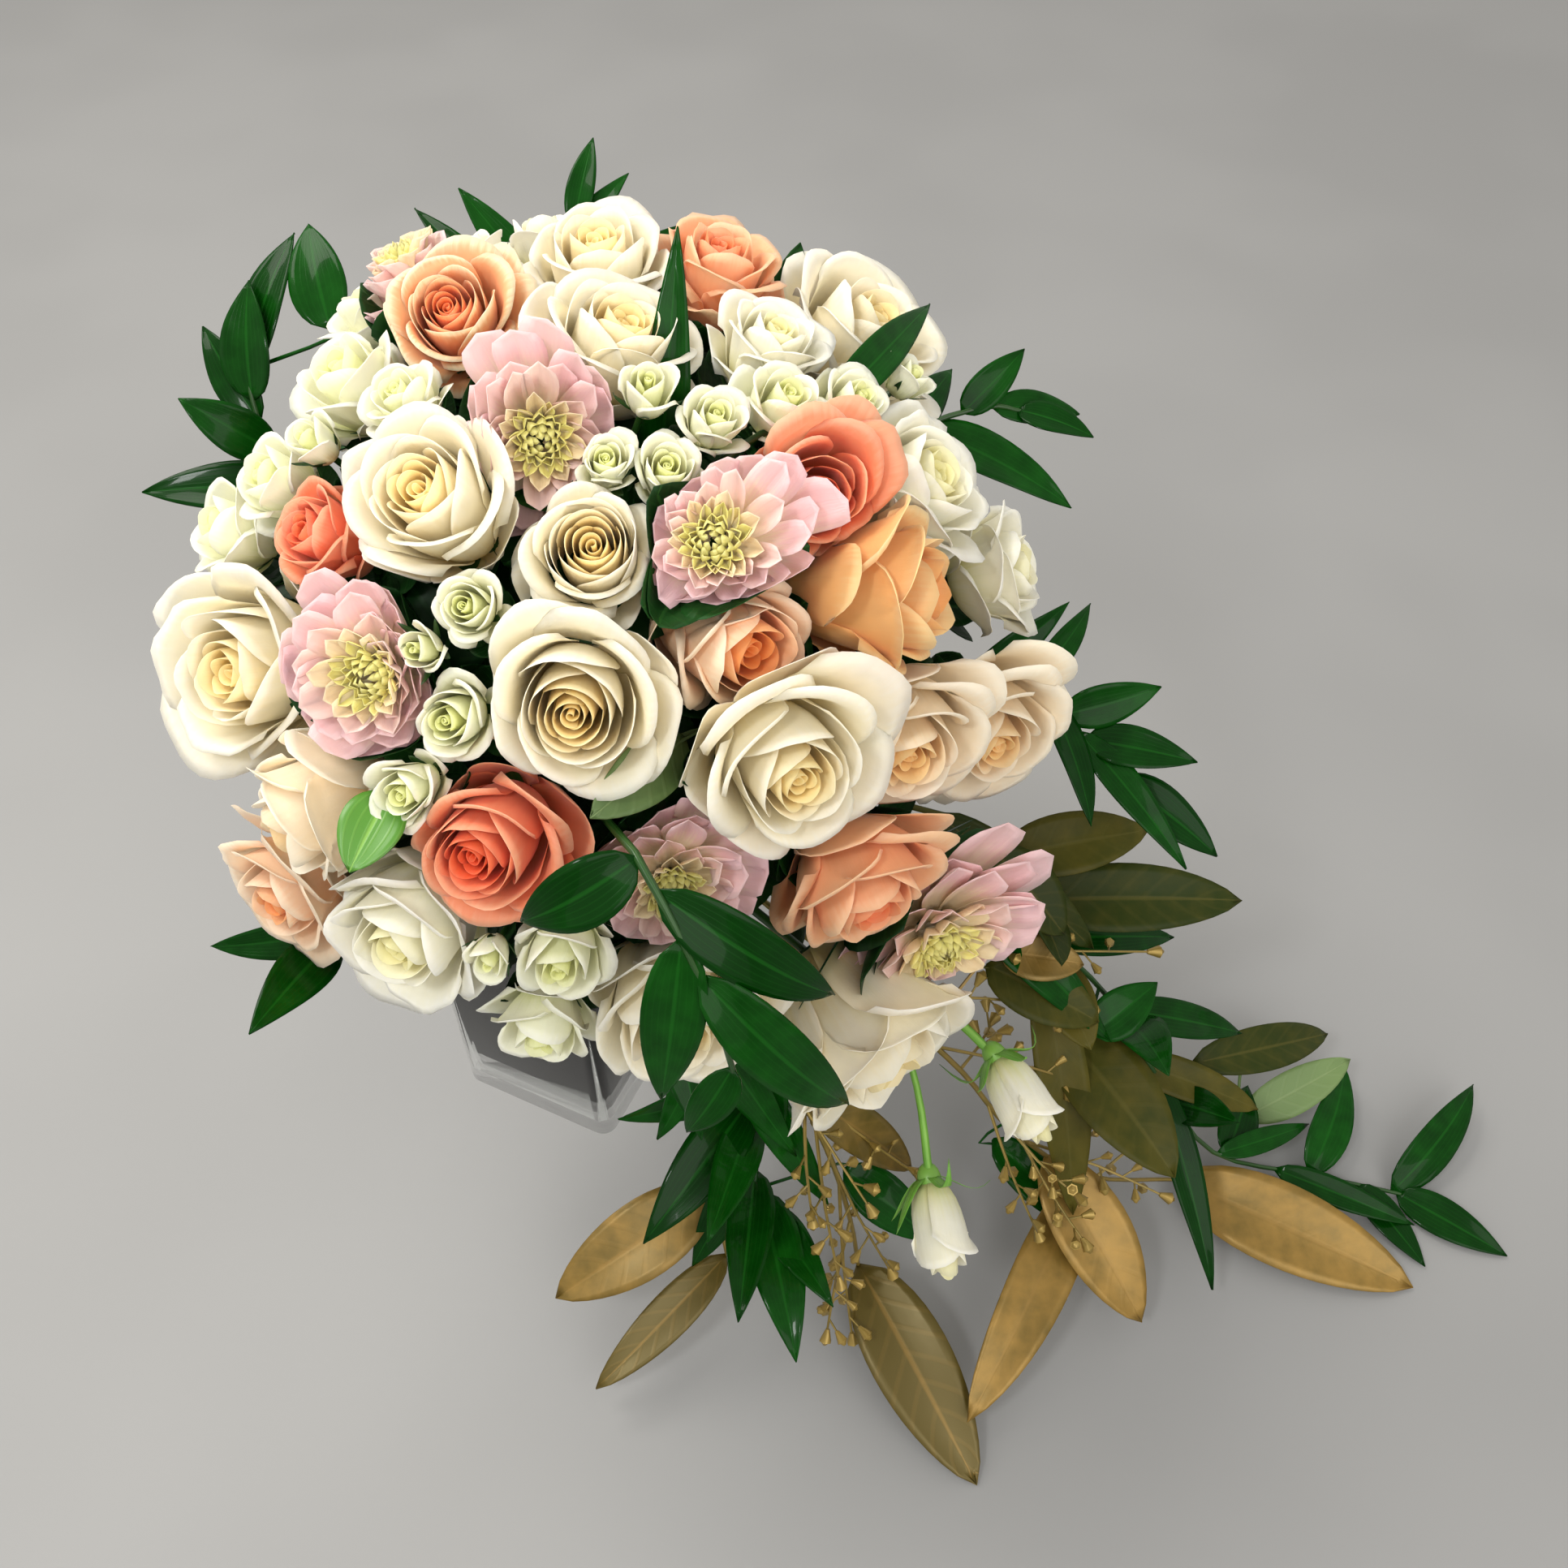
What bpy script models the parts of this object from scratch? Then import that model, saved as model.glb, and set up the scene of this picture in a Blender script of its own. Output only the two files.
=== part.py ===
"""Cascading rose bouquet standing in a square glass vase, in metres with +Z up.

A ball of roses, spray roses and dahlias stands on a foam head. A plastic holder carries
the foam: its collar rests on the rim of the vase and its handle hangs inside. Leafy stems
of ruscus and gilded eucalyptus trail from the foam down to the table, to the right and to
the front. Every flower keeps to its own cone of space round the foam, as flowers that are
pressed together do, so no petal crosses another flower's petals or stem.
"""

import math
import random
from dataclasses import dataclass

import bmesh
import bpy
from mathutils import Matrix, Vector

MM = 0.001
GAP = 0.0003

# Vase: a square tank of thick clear glass. Its origin is the middle of its underside.
VASE_SIDE = 0.100
VASE_HEIGHT = 0.250
VASE_WALL = 0.006
VASE_FLOOR = 0.012
VASE_TURN = -25.0
VASE_CORNER = 0.006

# Holder: a collar on the rim of the vase, a tapered handle below it and a cup above.
COLLAR_RADIUS = 0.060
COLLAR_THICK = 0.003
HANDLE_TOP_RADIUS = 0.016
HANDLE_END_RADIUS = 0.010
HANDLE_LENGTH = 0.130
CUP_RADIUS = 0.031
CUP_DEPTH = 0.012

# Foam: a ball that stands off the vase's axis, because the handle meets the cup at a slant.
FOAM_CENTRE = Vector((0.018, -0.008, 0.302))
FOAM_RADIUS = 0.045
STEM_DEPTH = 0.023
STEM_SPREAD = 16.0
DRILL_SIDES = 4

# Dome: the ball of flowers. Its face looks up and to the front.
DOME_CENTRE = Vector((0.054, 0.0, 0.340))
DOME_RADIUS = 0.190
FACE_RISE = 45.0
FACE_SWING = 8.5

STEM_RADIUS = 0.0022
TWIG_RADIUS = 0.0013
STEM_SIDES = 4
LEAF_THICK = 0.0012
# Leaves further than this from the dome's middle belong to the trail.
TRAIL_START = 0.245
# Where a spray's stem forks, as a share of its way from the foam to its first head.
FORK_SHARE = 0.45

# Cells: a head spreads up to FULLNESS half widths where it has room, and down to LEAST_REACH
# where neighbours press it. Lifted heads lean over lower ones by up to MOST_SLANT.
FULLNESS = 1.22
LEAST_REACH = 0.4
REACH_STEPS = 36
CELL_REACH = math.radians(75.0)
STEM_CLEAR = math.radians(1.25)
SLANT_LIFT = 20.0
MOST_SLANT = 1.1

IVORY = (0.86, 0.80, 0.62)
WHITE = (0.84, 0.83, 0.70)
BLUSH = (0.88, 0.72, 0.55)
PEACH = (0.90, 0.50, 0.25)
CORAL = (0.88, 0.33, 0.20)
PINK = (0.85, 0.50, 0.47)
LIME = (0.72, 0.76, 0.45)
DEEP_GREEN = (0.03, 0.13, 0.03)
OLIVE = (0.16, 0.17, 0.07)
GOLD = (0.45, 0.27, 0.08)


def face_frame():
    """Directions out of the dome's face, to its right and to its top."""
    rise = math.radians(FACE_RISE)
    swing = math.radians(FACE_SWING)
    out = Vector((math.sin(swing) * math.cos(rise), -math.cos(swing) * math.cos(rise), math.sin(rise)))
    right = Vector((math.cos(swing), math.sin(swing), 0.0))
    return out, right, out.cross(right)


FACE, FACE_RIGHT, FACE_UP = face_frame()


def polar(turn, tilt):
    """Direction from the dome's middle: turn is anticlockwise from the right, tilt is from the face."""
    turn = math.radians(turn)
    tilt = math.radians(tilt)
    across = FACE_RIGHT * math.cos(turn) + FACE_UP * math.sin(turn)
    return FACE * math.cos(tilt) + across * math.sin(tilt)


@dataclass
class Head:
    """One flower head: where its top is on the dome, how wide it is and which way it looks."""

    kind: str
    turn: float
    tilt: float
    width: float
    tall: float = 0.80
    lift: float = 0.0
    face: tuple = ()

    def look(self):
        return polar(*self.face) if self.face else polar(self.turn, self.tilt)

    def top(self):
        return DOME_CENTRE + polar(self.turn, self.tilt) * (DOME_RADIUS + self.lift * MM)

    def height(self):
        return self.width * self.tall * MM

    def base(self):
        return self.top() - self.look() * self.height()

    def middle(self):
        return self.top() - self.look() * self.height() * 0.42

    def heading(self):
        return (self.middle() - FOAM_CENTRE).normalized()

    def away(self):
        return (self.middle() - FOAM_CENTRE).length

    def spread(self):
        """Half of the angle that the head fills, seen from the foam's middle."""
        return math.asin(min(0.9, self.width * MM / 2 / self.away()))


# Single roses: node, colour, head. Widths are in millimetres.
ROSES = (
    ("rose_ivory_top", IVORY, Head("rose_side", 87, 63, 56)),
    ("rose_ivory_upper", IVORY, Head("rose", 82, 40, 58, face=(60, 44))),
    ("rose_ivory_upper_right", IVORY, Head("rose_side", 49, 75, 60, tall=0.9)),
    ("rose_ivory_upper_middle", IVORY, Head("rose_side", 58, 47, 48, tall=0.9)),
    ("rose_ivory_left_middle", IVORY, Head("rose", 134, 28, 64, lift=6)),
    ("rose_ivory_centre", IVORY, Head("rose", 98, 12, 62, lift=2)),
    ("rose_ivory_left", IVORY, Head("rose", 175, 56, 70, face=(170, 64))),
    ("rose_ivory_lower_middle", IVORY, Head("rose", 225, 8, 62, lift=6, face=(250, 15))),
    ("rose_ivory_right_middle", IVORY, Head("rose", 318, 23, 68, lift=9, face=(300, 34))),
    ("rose_blush_right", BLUSH, Head("rose_side", 340, 38, 58, lift=-3, face=(310, 48))),
    ("rose_blush_far_right", BLUSH, Head("rose_side", 345, 60, 58)),
    ("rose_white_ruffled", WHITE, Head("rose", 23, 51, 56)),
    ("rose_white_low_left", WHITE, Head("rose_side", 226, 49, 62)),
    ("rose_ivory_low", IVORY, Head("rose_side", 271, 55, 60, tall=0.9, face=(265, 72))),
    ("rose_ivory_trail", IVORY, Head("rose", 298, 75, 78, tall=0.80, lift=36, face=(308, 78))),
    ("rose_cream_edge", WHITE, Head("rose_side", 7, 66, 44)),
    ("rose_peach_upper_left", PEACH, Head("rose_side", 110, 52, 50)),
    ("rose_peach_upper", PEACH, Head("rose_side", 68, 66, 50)),
    ("rose_coral_right", CORAL, Head("rose_side", 33, 35, 52, lift=-6)),
    ("rose_orange_right", PEACH, Head("rose_side", 7, 40, 64, tall=0.92, face=(352, 72))),
    ("rose_peach_centre", PEACH, Head("rose_side", 356, 11, 60, lift=-8, face=(300, 38))),
    ("rose_coral_left", CORAL, Head("rose_side", 152, 42, 44, lift=-4)),
    ("rose_coral_low", CORAL, Head("rose", 227, 28, 60, lift=2)),
    ("rose_peach_low_right", PEACH, Head("rose", 308, 48, 56, face=(290, 60))),
    ("rose_peach_side", BLUSH, Head("rose_side", 202, 50, 52, tall=1.0, face=(208, 74))),
    ("rose_peach_low_left", PEACH, Head("rose_side", 209, 75, 46)),
    ("rose_ivory_back", IVORY, Head("rose_side", 62, 100, 58, lift=-12)),
)

DAHLIAS = (
    ("dahlia_centre", PINK, Head("dahlia", 38, 17, 84, tall=0.42, lift=14)),
    ("dahlia_upper", PINK, Head("dahlia_side", 106, 27, 74, tall=0.46, lift=-2, face=(280, 6))),
    ("dahlia_left", PINK, Head("dahlia_side", 178, 33, 86, tall=0.40, lift=2, face=(150, 34))),
    ("dahlia_right", PINK, Head("dahlia_side", 315, 70, 82, tall=0.42, lift=8, face=(320, 60))),
    ("dahlia_low", PINK, Head("dahlia_side", 276, 29, 64, tall=0.42, lift=-6)),
    ("dahlia_top_left", PINK, Head("dahlia_side", 112, 73, 60, tall=0.45)),
)

# Sprays: small heads on one forked stem. The first head is on the main stem.
SPRAYS = (
    ("spray_upper_left", LIME, (
        Head("small", 128, 54, 42),
        Head("small", 119, 74, 34),
        Head("bud", 139, 48, 22),
        Head("small", 124, 41, 26),
    )),
    ("spray_left", LIME, (Head("small", 156, 62, 38), Head("small", 147, 53, 34))),
    ("spray_upper", LIME, (Head("small", 88, 21, 26), Head("small", 70, 21, 30), Head("bud", 78, 31, 24))),
    ("spray_upper_right", LIME, (Head("small", 51, 37, 32), Head("small", 41, 45, 28), Head("bud", 38, 60, 20))),
    ("spray_left_middle", LIME, (Head("small", 194, 20, 34), Head("bud", 172, 22, 22), Head("small", 206, 29, 30))),
    ("spray_low", LIME, (Head("small", 252, 39, 36), Head("bud", 240, 41, 20), Head("small", 252, 57, 36))),
    ("spray_top", WHITE, (Head("small", 94, 77, 34), Head("bud", 103, 70, 24))),
    ("spray_back_left", WHITE, (
        Head("small", 128, 100, 44, lift=-18),
        Head("small", 150, 116, 42, lift=-26),
        Head("small", 116, 124, 42, lift=-32),
    )),
    ("spray_back_right", PEACH, (
        Head("small", 86, 120, 44, lift=-26),
        Head("small", 32, 106, 44, lift=-18),
        Head("small", 52, 130, 44, lift=-32),
    )),
)


@dataclass
class Leaf:
    """A leaf from a share of its stem's length to a tip in millimetres."""

    station: float
    tip: tuple
    width: float
    arch: float = 0.06
    cup: float = 0.18


# Seeds on a twig: the share of its length, and how far to one side in millimetres.
SEED_PLACES = ((1.0, 0.0), (0.80, 2.2), (0.60, -2.2))

# Leafy stems: node, colour, stem points in millimetres after the foam, leaves, seeds.
# The first point is where the stem leaves the flowers: up to there it runs straight.
SPRIGS = (
    ("ruscus_top", DEEP_GREEN, ((20, 112, 418), (22, 140, 446), (32, 160, 462)), (
        Leaf(0.99, (40, 190, 487), 14),
        Leaf(0.90, (56, 182, 474), 15),
        Leaf(0.80, (-20, 163, 477), 20),
        Leaf(0.70, (-44, 172, 462), 20),
        Leaf(0.75, (80, 178, 450), 20),
        Leaf(0.85, (14, 196, 440), 20),
    ), ()),
    ("ruscus_left", DEEP_GREEN, ((-62, 42, 362), (-90, 58, 388), (-106, 72, 410), (-112, 88, 432)), (
        Leaf(0.99, (-90, 134, 472), 24),
        Leaf(0.93, (-108, 112, 462), 27),
        Leaf(0.88, (-134, 110, 440), 20),
        Leaf(0.80, (-138, 70, 430), 23),
        Leaf(0.70, (-160, 50, 394), 25),
        Leaf(0.62, (-146, 12, 350), 20),
        Leaf(0.64, (-120, 96, 380), 22),
    ), ()),
    ("ruscus_right_high", DEEP_GREEN, ((140, 72, 368), (185, 92, 394), (222, 102, 402), (240, 104, 398)), (
        Leaf(0.88, (240, 122, 420), 18),
        Leaf(0.99, (264, 98, 408), 22),
        Leaf(0.94, (270, 118, 386), 18),
        Leaf(0.80, (262, 66, 372), 26),
        Leaf(0.72, (210, 146, 392), 22),
    ), ()),
    ("ruscus_right", DEEP_GREEN, ((190, 16, 312), (240, 10, 314), (264, -6, 300), (288, -24, 280)), (
        Leaf(0.76, (276, 50, 326), 17),
        Leaf(0.84, (306, 8, 312), 22),
        Leaf(0.90, (322, -22, 292), 22),
        Leaf(0.80, (270, -52, 282), 20),
        Leaf(0.99, (334, -50, 256), 24),
    ), ()),
    ("ruscus_low_left", DEEP_GREEN, ((-58, -92, 272), (-76, -108, 266)), (
        Leaf(0.97, (-92, -166, 288), 25),
        Leaf(0.80, (-126, -66, 280), 20),
        Leaf(0.90, (-128, -108, 266), 20),
    ), ()),
    ("ruscus_front", DEEP_GREEN, (
        (79, -186, 436), (92, -204, 420), (104, -216, 388), (110, -220, 352),
    ), (
        Leaf(0.68, (38, -192, 406), 27, 0.16),
        Leaf(0.72, (146, -196, 366), 29, 0.14),
        Leaf(0.78, (84, -226, 344), 27),
        Leaf(0.83, (152, -214, 318), 29, 0.12),
        Leaf(0.99, (92, -228, 322), 20),
    ), ()),
    ("ruscus_front_low", DEEP_GREEN, (
        (78, -100, 226), (102, -114, 196), (112, -120, 150), (112, -134, 106), (120, -150, 80),
    ), (
        Leaf(0.72, (60, -186, 126), 30, 0.10),
        Leaf(0.95, (134, -228, 84), 30, 0.10),
        Leaf(0.99, (152, -206, 98), 22, 0.10),
        Leaf(0.66, (46, -132, 150), 22),
        Leaf(0.86, (80, -170, 60), 22),
    ), ()),
    ("ruscus_trail", DEEP_GREEN, (
        (208, -44, 226), (256, -50, 192), (298, -58, 146), (334, -74, 86), (372, -92, 34),
        (436, -94, 9), (488, -104, 4),
    ), (
        Leaf(0.58, (322, -108, 150), 30, 0.12),
        Leaf(0.70, (370, -106, 96), 24),
        Leaf(0.80, (402, -46, 28), 25),
        Leaf(0.78, (356, -172, 34), 20),
        Leaf(0.90, (466, -28, 18), 26, 0.10),
        Leaf(0.95, (488, -146, 2.5), 20, 0.04),
        Leaf(0.985, (540, -40, 18), 25, 0.10),
        Leaf(0.99, (536, -140, 2.5), 24, 0.04),
    ), ()),
    ("ruscus_dome", DEEP_GREEN, ((96, -64, 520), (118, -56, 522), (146, -42, 512)), (
        Leaf(0.82, (90, 12, 546), 25, 0.06),
        Leaf(0.99, (190, 66, 488), 27, 0.16),
    ), ()),
    ("ruscus_collar", DEEP_GREEN, ((10, 96, 268), (16, 128, 262)), (
        Leaf(0.99, (20, 186, 272), 26),
        Leaf(0.86, (-30, 172, 290), 26),
        Leaf(0.86, (70, 170, 286), 26),
        Leaf(0.70, (-56, 128, 262), 26),
        Leaf(0.70, (88, 122, 258), 26),
    ), ()),
    ("eucalyptus_olive", OLIVE, (
        (212, -22, 250), (240, -26, 218), (258, -46, 178), (276, -68, 124), (330, -62, 84), (392, -46, 54),
    ), (
        Leaf(0.46, (312, -12, 228), 34),
        Leaf(0.52, (362, -34, 198), 38),
        Leaf(0.50, (262, -84, 214), 32),
        Leaf(0.60, (282, -100, 162), 32, 0.10),
        Leaf(0.70, (328, -142, 106), 48, 0.08),
        Leaf(0.99, (468, -6, 40), 42, 0.08),
    ), ()),
    ("eucalyptus_gold_right", GOLD, (
        (180, -96, 196), (218, -106, 150), (248, -112, 100), (296, -112, 46), (356, -98, 12),
    ), (
        Leaf(0.995, (478, -158, 2.5), 50, 0.05),
        Leaf(0.86, (320, -184, 20), 44, 0.06),
        Leaf(0.74, (222, -238, 26), 44, 0.05),
    ), (
        (0.55, (236, -76, 150)), (0.66, (278, -152, 104)), (0.80, (300, -84, 84)),
    )),
    ("eucalyptus_gold_front", GOLD, (
        (120, -118, 206), (148, -146, 150), (162, -158, 90), (168, -160, 36),
    ), (
        Leaf(0.99, (227, -262, 2.5), 46, 0.05),
    ), (
        (0.58, (142, -172, 122)), (0.84, (150, -200, 44)),
    )),
    ("eucalyptus_gold_left", GOLD, (
        (60, -104, 218), (82, -122, 150), (90, -138, 90), (98, -158, 42),
    ), (
        Leaf(0.84, (10, -186, 58), 42, 0.06),
        Leaf(0.99, (30, -220, 22), 36, 0.06),
    ), ()),
)

# Two half-open rosebuds on one forked stem, hanging in the trail.
BUD_STEM = ((168, -92, 226), (204, -108, 212), (228, -128, 202))
BUD_FORK = ((174, -95, 224), (192, -128, 176), (199, -160, 140))
BUD_TIPS = ((250, -164, 188), (207, -202, 120))
BUD_WIDTH = 26.0


def clear_scene():
    for obj in list(bpy.data.objects):
        bpy.data.objects.remove(obj, do_unlink=True)


def material(name, colour, roughness=0.55, metallic=0.0, transmission=0.0):
    made = bpy.data.materials.new(name)
    made.use_nodes = True
    shader = made.node_tree.nodes["Principled BSDF"]
    shader.inputs["Base Color"].default_value = (*colour, 1.0)
    shader.inputs["Roughness"].default_value = roughness
    shader.inputs["Metallic"].default_value = metallic
    shader.inputs["Transmission Weight"].default_value = transmission
    return made


def as_object(name, bm):
    """A closed mesh from a bmesh, with its faces pointing out."""
    bmesh.ops.triangulate(bm, faces=bm.faces)
    bmesh.ops.recalc_face_normals(bm, faces=bm.faces)
    if bm.calc_volume(signed=True) < 0:
        bmesh.ops.reverse_faces(bm, faces=bm.faces)
    mesh = bpy.data.meshes.new(name)
    bm.to_mesh(mesh)
    bm.free()
    obj = bpy.data.objects.new(name, mesh)
    bpy.context.scene.collection.objects.link(obj)
    return obj


def fused(name, pieces, colour, operation="UNION", solver="EXACT"):
    """The first piece joined with the others, or cut by them, as one object."""
    body = pieces[0]
    body.name = name
    if len(pieces) > 1:
        others = bpy.data.collections.new(name + "_pieces")
        bpy.context.scene.collection.children.link(others)
        for piece in pieces[1:]:
            bpy.context.scene.collection.objects.unlink(piece)
            others.objects.link(piece)
        join = body.modifiers.new("join", "BOOLEAN")
        join.operation = operation
        join.operand_type = "COLLECTION"
        join.collection = others
        join.solver = solver
        graph = bpy.context.evaluated_depsgraph_get()
        whole = bpy.data.meshes.new_from_object(body.evaluated_get(graph))
        body.modifiers.clear()
        body.data = whole
        for piece in pieces[1:]:
            bpy.data.objects.remove(piece, do_unlink=True)
        bpy.data.collections.remove(others)
    body.data.materials.clear()
    body.data.materials.append(colour)
    body.data.shade_smooth()
    body.data.set_sharp_from_angle(angle=math.radians(50))
    return body


def smooth_path(points, per_span=2):
    """Points along a Catmull-Rom curve through the given points."""
    ends = [points[0] * 2 - points[1], *points, points[-1] * 2 - points[-2]]
    path = []
    for before, start, end, after in zip(ends, ends[1:], ends[2:], ends[3:]):
        for step in range(per_span):
            t = step / per_span
            path.append(0.5 * (
                start * 2
                + (end - before) * t
                + (before * 2 - start * 5 + end * 4 - after) * t * t
                + (start * 3 - before - end * 3 + after) * t * t * t
            ))
    path.append(points[-1].copy())
    return path


def tube(name, points, radius, end_radius=None, sides=STEM_SIDES):
    """A stem with flat ends along the points."""
    bm = bmesh.new()
    end_radius = radius if end_radius is None else end_radius
    rings = stem_rings(bm, points, radius, end_radius, sides)
    join_rings(bm, rings)
    bm.faces.new(rings[0][::-1])
    bm.faces.new(rings[-1])
    return as_object(name, bm)


def stem_rings(bm, points, radius, end_radius, sides, side=None):
    """Rings of points round a path, none of them twisted against the one before."""
    rings = []
    for index, point in enumerate(points):
        before = points[max(index - 1, 0)]
        after = points[min(index + 1, len(points) - 1)]
        along = (after - before).normalized()
        if side is None:
            side = along.orthogonal().normalized()
        side = (side - along * side.dot(along)).normalized()
        other = along.cross(side)
        wide = radius + (end_radius - radius) * index / (len(points) - 1)
        ring = []
        for corner in range(sides):
            angle = math.tau * corner / sides
            ring.append(bm.verts.new(point + (side * math.cos(angle) + other * math.sin(angle)) * wide))
        rings.append(ring)
    return rings


def join_rings(bm, rings):
    for lower, upper in zip(rings, rings[1:]):
        count = len(lower)
        for corner in range(count):
            after = (corner + 1) % count
            bm.faces.new((lower[corner], lower[after], upper[after], upper[corner]))


@dataclass
class Row:
    """One ring round a flower head, as shares of its half width and height.

    A rim is lobed into petals: between petals it drops by notch and draws in by pull, and
    swirl pushes one side of each petal over the next.
    """

    radius: float
    height: float
    petals: int = 0
    phase: float = 0.0
    notch: float = 0.0
    pull: float = 0.0
    swirl: float = 0.0


def rose_rows(petals):
    """A pointed middle in a hollow, three inner petals, two rings of wider ones and the swell below."""
    return (
        Row(0.20, 0.76),
        Row(0.36, 0.99, 3, 0.4, 0.08, 0.10, 0.30),
        Row(0.43, 0.72),
        Row(0.68, 0.96, petals, 0.2, 0.14, 0.10, 0.16),
        Row(0.70, 0.60),
        Row(1.24, 0.78, petals, 0.7, 0.16, 0.08, 0.10),
        Row(0.84, 0.30),
    )


SMALL_ROWS = (
    Row(0.26, 0.98, 3, 0.0, 0.06, 0.0, 0.4),
    Row(0.38, 0.74),
    Row(0.66, 0.94, 3, 0.33, 0.14, 0.10, 0.16),
    Row(0.62, 0.56),
    Row(1.10, 0.66, 3, 0.0, 0.18, 0.12, 0.10),
)
BUD_ROWS = (Row(0.50, 0.92, 3, 0.0, 0.0, 0.0, 0.3), Row(0.92, 0.62), Row(1.0, 0.38), Row(0.55, 0.06))


def dahlia_rows(petals):
    """A raised middle and three rings of pointed petals, each ring set between the one above."""
    return (
        Row(0.19, 0.92),
        Row(0.23, 0.66),
        Row(0.50, 1.00, petals, 0.0, 0.26, 0.34),
        Row(0.36, 0.46),
        Row(0.80, 0.80, petals, 0.5, 0.30, 0.32),
        Row(0.50, 0.30),
        Row(1.08, 0.48, petals, 0.0, 0.22, 0.26),
        Row(0.40, 0.08),
    )


ROSEBUD_ROWS = (
    Row(0.40, 0.93, 5, 0.0, 0.0, 0.0, 0.3),
    Row(0.86, 0.66),
    Row(0.80, 0.34),
    Row(1.10, 0.44, 5, 0.0, 0.26, 0.30),
    Row(0.34, 0.04),
)
ROWS = {
    "rose": (rose_rows(5), 15),
    "rose_side": (rose_rows(4), 12),
    "small": (SMALL_ROWS, 9),
    "bud": (BUD_ROWS, 6),
    "dahlia": (dahlia_rows(10), 20),
    "dahlia_side": (dahlia_rows(8), 16),
    "rosebud": (ROSEBUD_ROWS, 10),
}


def row_points(row, columns, reaches, half, height):
    points = []
    for column in range(columns):
        angle = math.tau * column / columns
        share = (column * row.petals / columns + row.phase) % 1.0 if row.petals else 0.5
        dip = 1.0 - max(math.sin(math.pi * share), 0.0) ** 0.6
        wide = half * row.radius * (1.0 - row.pull * dip + row.swirl * (0.5 - share))
        wide *= reach_at(reaches, angle)
        high = height * (row.height - row.notch * dip)
        points.append(Vector((wide * math.cos(angle), wide * math.sin(angle), high)))
    return points


def reach_at(reaches, angle):
    place = angle / math.tau % 1.0 * len(reaches)
    step = int(place)
    after = reaches[(step + 1) % len(reaches)]
    return reaches[step % len(reaches)] + (after - reaches[step % len(reaches)]) * (place - step)


def head_reaches(head, rows, turn, planes):
    """How far the rows spread each way, as shares of the half width: less where a plane is near."""
    reaches = []
    for step in range(REACH_STEPS):
        angle = math.tau * step / REACH_STEPS
        across = turn @ Vector((math.cos(angle), math.sin(angle), 0.0))
        reach = FULLNESS * 4
        for row in rows:
            axis = head.base() + head.look() * head.height() * row.height
            for origin, normal in planes:
                rate = across.dot(normal)
                room = (origin - axis).dot(normal) - GAP
                if rate > 0.02 and room > 0:
                    reach = min(reach, room / (rate * head.width * MM / 2 * row.radius * 1.02))
        share = reach / FULLNESS
        reaches.append(max(reach / (1.0 + share ** 8) ** 0.125, LEAST_REACH))
    return reaches


def plane_towards(own, other, share, slant=0.0, away=0.0):
    """A plane through the foam's middle, at a share of the way from one heading to another."""
    between = own.slerp(other, share)
    normal = (other - between * other.dot(between)).normalized()
    return FOAM_CENTRE + between * away, (normal - between * slant).normalized()


def cell_planes(head, others, stems):
    """Planes that part a head from its neighbours and from the stems near it.

    A head that is lifted above a neighbour leans over it, so the plane between them slants.
    """
    own = head.heading()
    planes = []
    for other in others:
        heading = other.heading()
        apart = own.angle(heading)
        if apart > CELL_REACH:
            continue
        share = head.spread() / (head.spread() + other.spread())
        slant = max(-MOST_SLANT, min(MOST_SLANT, (head.lift - other.lift) / SLANT_LIFT))
        planes.append(plane_towards(own, heading, share, slant, (head.away() + other.away()) / 2))
        planes.append(plane_towards(own, heading, 1.0 - STEM_CLEAR / apart))
    for heading in stems:
        apart = own.angle(heading)
        if apart < CELL_REACH:
            planes.append(plane_towards(own, heading, 1.0 - STEM_CLEAR / apart))
    return planes


def kept_inside(point, middle, planes):
    """The point, drawn back softly where it would pass a plane."""
    for _ in range(3):
        for origin, normal in planes:
            room = max((origin - middle).dot(normal) - GAP, GAP)
            start = room * 0.9
            past = (point - middle).dot(normal) - start
            if past > 0:
                allowed = room - start
                drawn = allowed * (1.0 - math.exp(-past / allowed))
                point = point + normal * (drawn - past)
    return point


def head_object(name, head, planes, rng, stem=None):
    """One closed flower head, turned to look outward, kept in its cone and grown into its stem."""
    look = head.look()
    turn = look.to_track_quat("Z", "Y").to_matrix() @ Matrix.Rotation(rng.uniform(0, math.tau), 3, "Z")
    base = head.base()
    middle = head.middle()
    rows, columns = ROWS[head.kind]
    bm = bmesh.new()
    rings = []
    # A narrow lowest row is pressed on its own, because the cell narrows towards the foam.
    body = rows[:-1] if rows[-1].radius < rows[-2].radius else rows
    reaches = head_reaches(head, body, turn, planes)
    foot = head_reaches(head, rows, turn, planes)
    for row in rows:
        spread = reaches if row in body else foot
        ring = []
        for point in row_points(row, columns, spread, head.width * MM / 2, head.height()):
            ring.append(bm.verts.new(kept_inside(turn @ point + base, middle, planes)))
        rings.append(ring)
    top = base + look * head.height() * 0.93
    if stem is None:
        close_head(bm, rings, top, base)
    else:
        join_rings(bm, rings)
        cap_with_point(bm, rings[0], top)
        join_to_stem(bm, rings[-1], stem_rings(bm, stem, STEM_RADIUS, STEM_RADIUS, STEM_SIDES, turn.col[0]))
    return as_object(name, bm)


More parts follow.
